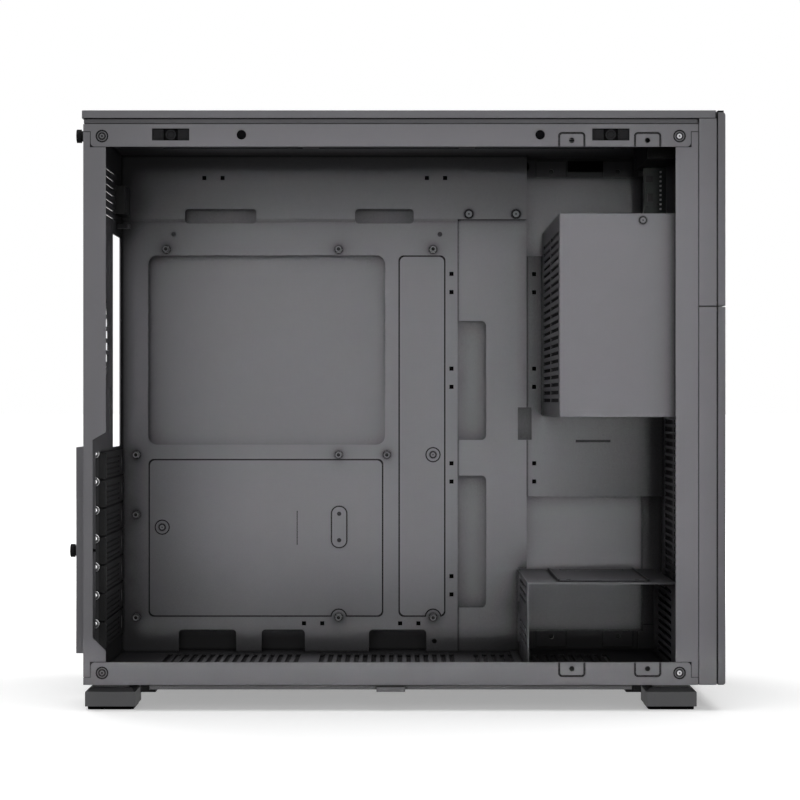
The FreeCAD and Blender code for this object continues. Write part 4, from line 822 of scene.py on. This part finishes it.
class CASE_OT_plate_screws(bpy.types.Operator):
    """Screws of the set-in plates, the power supply cover and the strip beside the tray"""
    bl_idname = "case.plate_screws"
    bl_label = "Plate screws"

    def heads(self, name, seats, radius, rise):
        """Screws of one size: their black rims in one piece and their paler centres in another."""
        rims, centres = [], []
        for number, seat in enumerate(seats):
            rims.append(screw_ring("%s_rim_%d" % (name, number), seat, radius, rise, -1))
            centres.append(screw_button("%s_centre_%d" % (name, number), seat, radius, rise, -1, 0.74))
        held = join_pieces(rims, name + "_rims")
        dress(held, "dark_screw", "case", "black_plastic")
        dress(join_pieces(centres, name + "_heads"), "dark_screw", "case", "ringed_screw")
        return held

    def execute(self, context):
        for node in ("plate_screws", "psu_screw"):
            boxes = island_boxes(node)
            low, high = boxes[0]
            seats = [(middle(box)[0], box[1][1], middle(box)[2]) for box in boxes]
            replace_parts(self.heads(node, seats, (high[0] - low[0]) / 2, high[1] - low[1]), node)
        low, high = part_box("motherboard_tray")
        seats = [(high[0] - back * MM, low[1], low[2] + BAND_SCREW_RISE) for back in BAND_SCREWS_BACK]
        self.heads("band_screws", seats, BAND_SCREW_RADIUS, BAND_SCREW_TALL)
        return {"FINISHED"}


class CASE_OT_tie_bridges(bpy.types.Operator):
    """Pressed bridges behind the pairs of tie holes, black so that they paint the shade in the holes"""
    bl_idname = "case.tie_bridges"
    bl_label = "Tie bridges"

    def execute(self, context):
        half = TIE_WIDE / 2
        model = add_block("tie_bridge_model", (-TIE_LONG / 2, 0, -half), (TIE_LONG / 2, TIE_DEEP, half))
        pick_along(model, (0, 1, 0))
        step_in(TIE_WIDE * 0.2, TIE_DEEP * 0.25, (0, 1, 0))
        done_editing()
        bevel_piece(model, TIE_WIDE * 0.05)
        upright = copy_to(model, "tie_bridge_upright", (0, 0, 0))
        hold(upright)
        upright.rotation_euler = ALONG
        bpy.ops.object.transform_apply()
        bridges = []
        for row, behind, heights, standing in TIE_ROWS:
            for along, high in [(x, z) for x in row for z in heights]:
                place = (along * MM, behind * MM, high * MM)
                name = "tie_bridge_%d" % len(bridges)
                bridges.append(copy_to(upright if standing else model, name, place))
        bpy.data.objects.remove(model)
        bpy.data.objects.remove(upright)
        # Black rubber coat: a painted shade behind the tie holes
        dress(join_pieces(bridges, "tie_bridges"), "black_plastic", "case", "rubber")
        return {"FINISHED"}


class CASE_OT_thumbscrews(bpy.types.Operator):
    """Grooved thumbscrews on the rear"""
    bl_idname = "case.thumbscrews"
    bl_label = "Thumbscrews"

    def head(self, name, box):
        """Grooved head along the case with a waist, a slot and its shank."""
        sizes = fasteners_of()
        grooves = sizes.thumb_grooves
        low, high = box
        radius = (high[2] - low[2]) / 2
        centre = middle(box)
        rim = low[0] + THUMB_LONG
        place = (low[0] + THUMB_LONG * 0.28, centre[1], centre[2])
        piece = add_rod(name, place, radius, THUMB_LONG * 0.56, ALONG, vertices=grooves * 4)
        pick_faces(piece, lambda face: abs(face.normal.x) < 0.1 and self.in_groove(face, centre, grooves))
        bpy.ops.mesh.extrude_region_shrink_fatten(TRANSFORM_OT_shrink_fatten={"value": -radius * 0.07})
        bpy.ops.mesh.select_all(action="DESELECT")
        bpy.ops.object.mode_set(mode="OBJECT")
        pick_faces(piece, lambda face: face.normal.x > 0.99 and len(face.vertices) > 8)
        step_in(radius * 0.22, THUMB_LONG * 0.14, (1, 0, 0))
        step_in(-radius * 0.14, THUMB_LONG * 0.30, (1, 0, 0))
        step_in(radius * 0.58, high[0] - rim, (1, 0, 0))
        done_editing()
        pick_faces(piece, lambda face: face.normal.x < -0.99 and len(face.vertices) > 8)
        step_in(radius * 0.12, -THUMB_LONG * 0.05, (-1, 0, 0))
        step_in(radius * 0.3, THUMB_LONG * 0.03, (-1, 0, 0))
        done_editing()
        cutter = cross_cutter((low[0], centre[1], centre[2]), sizes.recess_wide, radius * 0.95,
                              THUMB_LONG * 0.2, 0)
        cut_with(piece, cutter)
        bpy.ops.object.shade_smooth_by_angle(angle=0.5)
        return piece

    def in_groove(self, face, centre, grooves):
        """True for two of every four strips round the head."""
        angle = math.atan2(face.center.z - centre[2], face.center.y - centre[1])
        strip = math.floor((angle + math.pi) / (2 * math.pi) * grooves * 4 + 0.001)
        return strip % 4 < 2

    def execute(self, context):
        for node in ("panel_thumbscrews", "guard_thumbscrew"):
            heads = [self.head("%s_%d" % (node, number), box)
                     for number, box in enumerate(island_boxes(node))]
            joined = join_pieces(heads, node + "_grooved")
            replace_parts(joined, node)
            dress(joined, "dark_screw", "case", "black_plastic")
        return {"FINISHED"}


class CASE_OT_standoffs(bpy.types.Operator):
    """Board posts with a chamfered hexagon, a collar and a threaded hole"""
    bl_idname = "case.standoffs"
    bl_label = "Board standoffs"

    def execute(self, context):
        boxes = island_boxes("standoffs")
        low, high = boxes[0]
        centre = middle(boxes[0])
        radius = (high[0] - low[0]) / 2
        long = high[1] - low[1]
        turn = (math.pi / 2, math.pi / 6, 0)
        body = add_rod("standoff_model", (centre[0], high[1] - long * 0.45, centre[2]), radius,
                       long * 0.9, turn, vertices=6)
        bevel_piece(body, radius * 0.08)
        collar = add_rod("standoff_collar", (centre[0], low[1] + long * 0.1, centre[2]), radius * 0.82,
                         long * 0.2, turn)
        pick_along(collar, (0, -1, 0))
        bpy.ops.mesh.inset(thickness=radius * 0.1)
        step_in(radius * 0.22, -long * 0.12, (0, -1, 0))
        done_editing()
        made = []
        for model, name in ((body, "standoff_post"), (collar, "standoff_rim")):
            copies = []
            for number, box in enumerate(boxes):
                spot = middle(box)
                offset = (spot[0] - centre[0], 0, spot[2] - centre[2])
                copies.append(copy_to(model, "%s_%d" % (name, number), offset))
            bpy.data.objects.remove(model)
            made.append(join_pieces(copies, name + "s"))
        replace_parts(made[0], "standoffs")
        dress(made[0], "dark_screw", "case")
        dress(made[1], "dark_screw", "case", "ringed_screw")
        return {"FINISHED"}


class CASE_OT_panel_clips(bpy.types.Operator):
    """Sprung clips with two bevelled jaws and a round socket in each window"""
    bl_idname = "case.panel_clips"
    bl_label = "Panel clips"

    def clip(self, name, box, outward):
        """Back of one clip, and its jaws and socket towards the outside."""
        low, high = box
        centre = middle(box)
        rise = (high[1] - low[1]) / 2
        face = low[1] if outward < 0 else high[1]
        seat = face - outward * rise
        back_y = sorted((seat, seat - outward * rise))
        back = add_block(name, (low[0], back_y[0], low[2]), (high[0], back_y[1], high[2]))
        bevel_piece(back, 0.2 * MM, 1)
        third = (high[0] - low[0] - 2 * MM) / 3
        jaw_y = sorted((seat, face - outward * 0.25 * MM))
        jaws = []
        for number, side in enumerate((-1, 1)):
            outer = centre[0] + side * (third * 1.5 - 0.4 * MM)
            inner = centre[0] + side * (third * 0.5 + 0.7 * MM)
            jaw = add_block("%s_jaw_%d" % (name, number), (min(outer, inner), jaw_y[0], low[2] + 0.5 * MM),
                            (max(outer, inner), jaw_y[1], high[2] - 0.5 * MM))
            pick_along(jaw, (0, outward, 0))
            step_in(0.9 * MM, 0.25 * MM, (0, outward, 0))
            done_editing()
            bevel_piece(jaw, 0.22 * MM)
            jaws.append(jaw)
        place = (centre[0], seat + outward * rise * 0.35, centre[2])
        socket = add_rod(name + "_socket", place, third * 0.42, rise * 0.7, ACROSS)
        pick_along(socket, (0, outward, 0))
        step_in(third * 0.12, -rise * 0.5, (0, outward, 0))
        done_editing()
        jaws.append(socket)
        return back, join_pieces(jaws, name + "_jaws")

    def execute(self, context):
        backs, jaws = [], []
        for number, box in enumerate(island_boxes("panel_clips")):
            made = self.clip("clip_%d" % number, box, -1 if middle(box)[1] < 0 else 1)
            backs.append(made[0])
            jaws.append(made[1])
        held = join_pieces(backs, "panel_clip_backs")
        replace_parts(held, "panel_clips")
        # The backs take the darker rubber coat, a painted shade behind the jaws
        dress(held, "black_plastic", "case", "rubber")
        dress(join_pieces(jaws, "panel_clip_jaws"), "black_plastic", "case", "panel_clip")
        return {"FINISHED"}


class CASE_OT_slot_screws(bpy.types.Operator):
    """Polished screws that hold the slot covers' tabs"""
    bl_idname = "case.slot_screws"
    bl_label = "Slot screws"

    def execute(self, context):
        covers = sorted(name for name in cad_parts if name.startswith("slot_cover_"))
        low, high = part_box(covers[0])
        seat = (low[0] + SLOT_SCREW_IN, low[1], (low[2] + high[2]) / 2 + SLOT_SCREW_UP)
        parts = [make("slot_screw_model", seat, SLOT_SCREW_RADIUS, SLOT_SCREW_TALL, -1)
                 for make in (screw_ring, screw_button)]
        model = join_pieces(parts, "slot_screw_model")
        screws = []
        for name in covers:
            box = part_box(name)
            rise = (box[0][2] + box[1][2] - low[2] - high[2]) / 2
            screws.append(copy_to(model, "screw_of_" + name, (0, 0, rise)))
        bpy.data.objects.remove(model)
        dress(join_pieces(screws, "slot_screw_heads"), "bright_steel", "case", "slot_screw")
        return {"FINISHED"}


class CASE_OT_bumpers(bpy.types.Operator):
    """Rubber plugs with a flange behind the rail and a softly domed face"""
    bl_idname = "case.bumpers"
    bl_label = "Bumpers"

    def execute(self, context):
        plugs = []
        for number, box in enumerate(island_boxes("bumpers")):
            low, high = box
            centre = middle(box)
            outward = -1 if centre[1] < 0 else 1
            radius = (high[0] - low[0]) / 2
            half = (high[1] - low[1]) / 2
            inner = radius - 1.4 * MM
            place = (centre[0], centre[1] - outward * half / 2, centre[2])
            plug = add_rod("bumper_%d" % number, place, radius, half, ACROSS)
            pick_along(plug, (0, outward, 0))
            step_in(radius - inner, half * 0.7, (0, outward, 0))
            bpy.ops.mesh.inset(thickness=inner * 0.25)
            bpy.ops.transform.translate(value=(0, outward * half * 0.2, 0))
            bpy.ops.mesh.inset(thickness=inner * 0.3)
            bpy.ops.transform.translate(value=(0, outward * half * 0.08, 0))
            done_editing(1.0)
            plugs.append(plug)
        joined = join_pieces(plugs, "bumper_plugs")
        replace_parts(joined, "bumpers")
        dress(joined, "rubber", "case")
        return {"FINISHED"}


class CASE_OT_board_parts(bpy.types.Operator):
    """Chips on the input board"""
    bl_idname = "case.board_parts"
    bl_label = "Input board parts"

    def execute(self, context):
        low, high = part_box("input_board")
        face = low[1]
        chips = []
        for number, (along, up, wide, tall, rise) in enumerate(CHIPS):
            x = low[0] + (high[0] - low[0]) * along
            z = low[2] + (high[2] - low[2]) * up
            corner = (x - wide / 2 * MM, face - rise * MM, z - tall / 2 * MM)
            other = (x + wide / 2 * MM, face, z + tall / 2 * MM)
            chip = add_block("chip_%d" % number, corner, other)
            pick_along(chip, (0, -1, 0))
            step_in(0.2 * MM, 0.1 * MM, (0, -1, 0))
            done_editing()
            bevel_piece(chip, 0.08 * MM, 1)
            chips.append(chip)
        dress(join_pieces(chips, "input_board_chips"), "black_plastic", "case")
        return {"FINISHED"}


def seen_directly(tree):
    """Mask of the rays that come straight from the camera, a mirror or a clear piece."""
    path = tree.nodes.new("ShaderNodeLightPath").outputs
    seen = math_node(tree, "ADD", path["Is Camera Ray"], path["Is Glossy Ray"], clamp=True)
    return math_node(tree, "ADD", seen, path["Is Transmission Ray"], clamp=True)


class CASE_OT_studio(bpy.types.Operator):
    """Floor, lamps, room light and camera"""
    bl_idname = "case.studio"
    bl_label = "Studio"

    def lamp(self, name, place, aim, wide, high, power, spread):
        """Soft lamp at a place, turned to a point, with its light kept within a spread in degrees."""
        light = bpy.data.lights.new(name, "AREA")
        light.shape = "RECTANGLE"
        light.size = wide
        light.size_y = high
        light.spread = math.radians(spread)
        light.energy = power
        holder = bpy.data.objects.new(name, light)
        bpy.context.collection.objects.link(holder)
        holder.location = place
        holder.rotation_euler = (Vector(aim) - Vector(place)).to_track_quat("-Z", "Y").to_euler()

    def floor(self, sets):
        """Wide pale floor that keeps the shadow and shows white to the camera."""
        start_piece()
        bpy.ops.mesh.primitive_plane_add(size=60, location=(0, 0, -0.0002))
        floor = name_piece("studio_floor")
        material, tree, shader = plain_material("Studio floor")
        place = object_place(tree)
        cloud = noise_node(tree, place, 3.0, 2.0)
        base = tuple(sets.floor)
        paler = [min(1.0, part * 1.01) for part in base]
        shader.inputs["Roughness"].default_value = 0.9
        shader.inputs["Specular IOR Level"].default_value = 0.1
        seen = seen_directly(tree)
        shown = mix_colour(tree, cloud, base, paler)
        dimmed = [part * 0.3 for part in base]
        tree.links.new(mix_colour(tree, seen, dimmed, shown), shader.inputs["Base Color"])
        shader.inputs["Emission Color"].default_value = (1, 1, 1, 1)
        away = tree.nodes.new("ShaderNodeVectorMath")
        away.operation = "LENGTH"
        tree.links.new(place, away.inputs[0])
        spread = tree.nodes.new("ShaderNodeMapRange")
        spread.interpolation_type = "SMOOTHSTEP"
        for label, value in (("From Min", GLOW_NEAR), ("From Max", GLOW_FAR), ("To Min", sets.floor_glow)):
            spread.inputs[label].default_value = value
        tree.links.new(away.outputs["Value"], spread.inputs["Value"])
        lift = math_node(tree, "MULTIPLY", seen, spread.outputs["Result"])
        tree.links.new(lift, shader.inputs["Emission Strength"])
        floor.data.materials.append(material)

    def room(self, sets):
        """Even light all round, white where the camera sees it."""
        world = bpy.data.worlds.new("Studio room")
        bpy.context.scene.world = world
        world.use_nodes = True
        tree = world.node_tree
        tree.nodes.clear()
        seen = seen_directly(tree)
        strength = math_node(tree, "MULTIPLY_ADD", seen, 1.0 - sets.sky, sets.sky)
        glow = tree.nodes.new("ShaderNodeBackground")
        glow.inputs["Color"].default_value = (1, 1, 1, 1)
        tree.links.new(strength, glow.inputs["Strength"])
        out = tree.nodes.new("ShaderNodeOutputWorld")
        tree.links.new(glow.outputs[0], out.inputs["Surface"])

    def execute(self, context):
        sets = studio_of()
        scene = context.scene
        scene.view_settings.view_transform = "Standard"
        self.floor(sets)
        self.room(sets)
        for name, place, aim, wide, high, power, spread in LAMPS:
            self.lamp(name, place, aim, wide, high, getattr(sets, power), spread)
        camera = bpy.data.cameras.new("photo_camera")
        camera.sensor_width = 36
        camera.lens = sets.lens
        camera.clip_start = 0.05
        camera.clip_end = 100
        holder = bpy.data.objects.new("photo_camera", camera)
        context.collection.objects.link(holder)
        holder.location = (sets.camera_along, CASE_LOW[1] - sets.camera_back, sets.camera_high)
        holder.rotation_euler = ACROSS
        scene.camera = holder
        return {"FINISHED"}


STEPS = (CASE_OT_dress_steel, CASE_OT_corner_screws, CASE_OT_plate_screws, CASE_OT_tie_bridges,
         CASE_OT_thumbscrews, CASE_OT_standoffs, CASE_OT_panel_clips, CASE_OT_slot_screws, CASE_OT_bumpers,
         CASE_OT_board_parts, CASE_OT_studio)
GROUPS = (("case_finish", CaseFinish), ("case_fasteners", CaseFasteners), ("case_studio", CaseStudio))


class CASE_PT_panel(bpy.types.Panel):
    """Sizes, colours and steps of the case"""
    bl_idname = "CASE_PT_panel"
    bl_label = "Computer case"
    bl_space_type = "VIEW_3D"
    bl_region_type = "UI"
    bl_category = "Case"

    def draw(self, context):
        for step in STEPS:
            self.layout.operator(step.bl_idname)
        for holder, kind in GROUPS:
            column = self.layout.column()
            for label in kind.__annotations__:
                column.prop(getattr(context.scene, holder), label)


def register():
    for holder, kind in GROUPS:
        bpy.utils.register_class(kind)
        setattr(bpy.types.Scene, holder, bpy.props.PointerProperty(type=kind))
    for step in STEPS:
        bpy.utils.register_class(step)
    bpy.utils.register_class(CASE_PT_panel)


def unregister():
    bpy.utils.unregister_class(CASE_PT_panel)
    for step in reversed(STEPS):
        bpy.utils.unregister_class(step)
    for holder, kind in reversed(GROUPS):
        delattr(bpy.types.Scene, holder)
        bpy.utils.unregister_class(kind)


FINISHES = {}


def main():
    register()
    FINISHES.update(build_finishes())
    for step in STEPS:
        getattr(bpy.ops.case, step.bl_idname.split(".")[1])()
    start_piece()


if __name__ == "__main__":
    main()
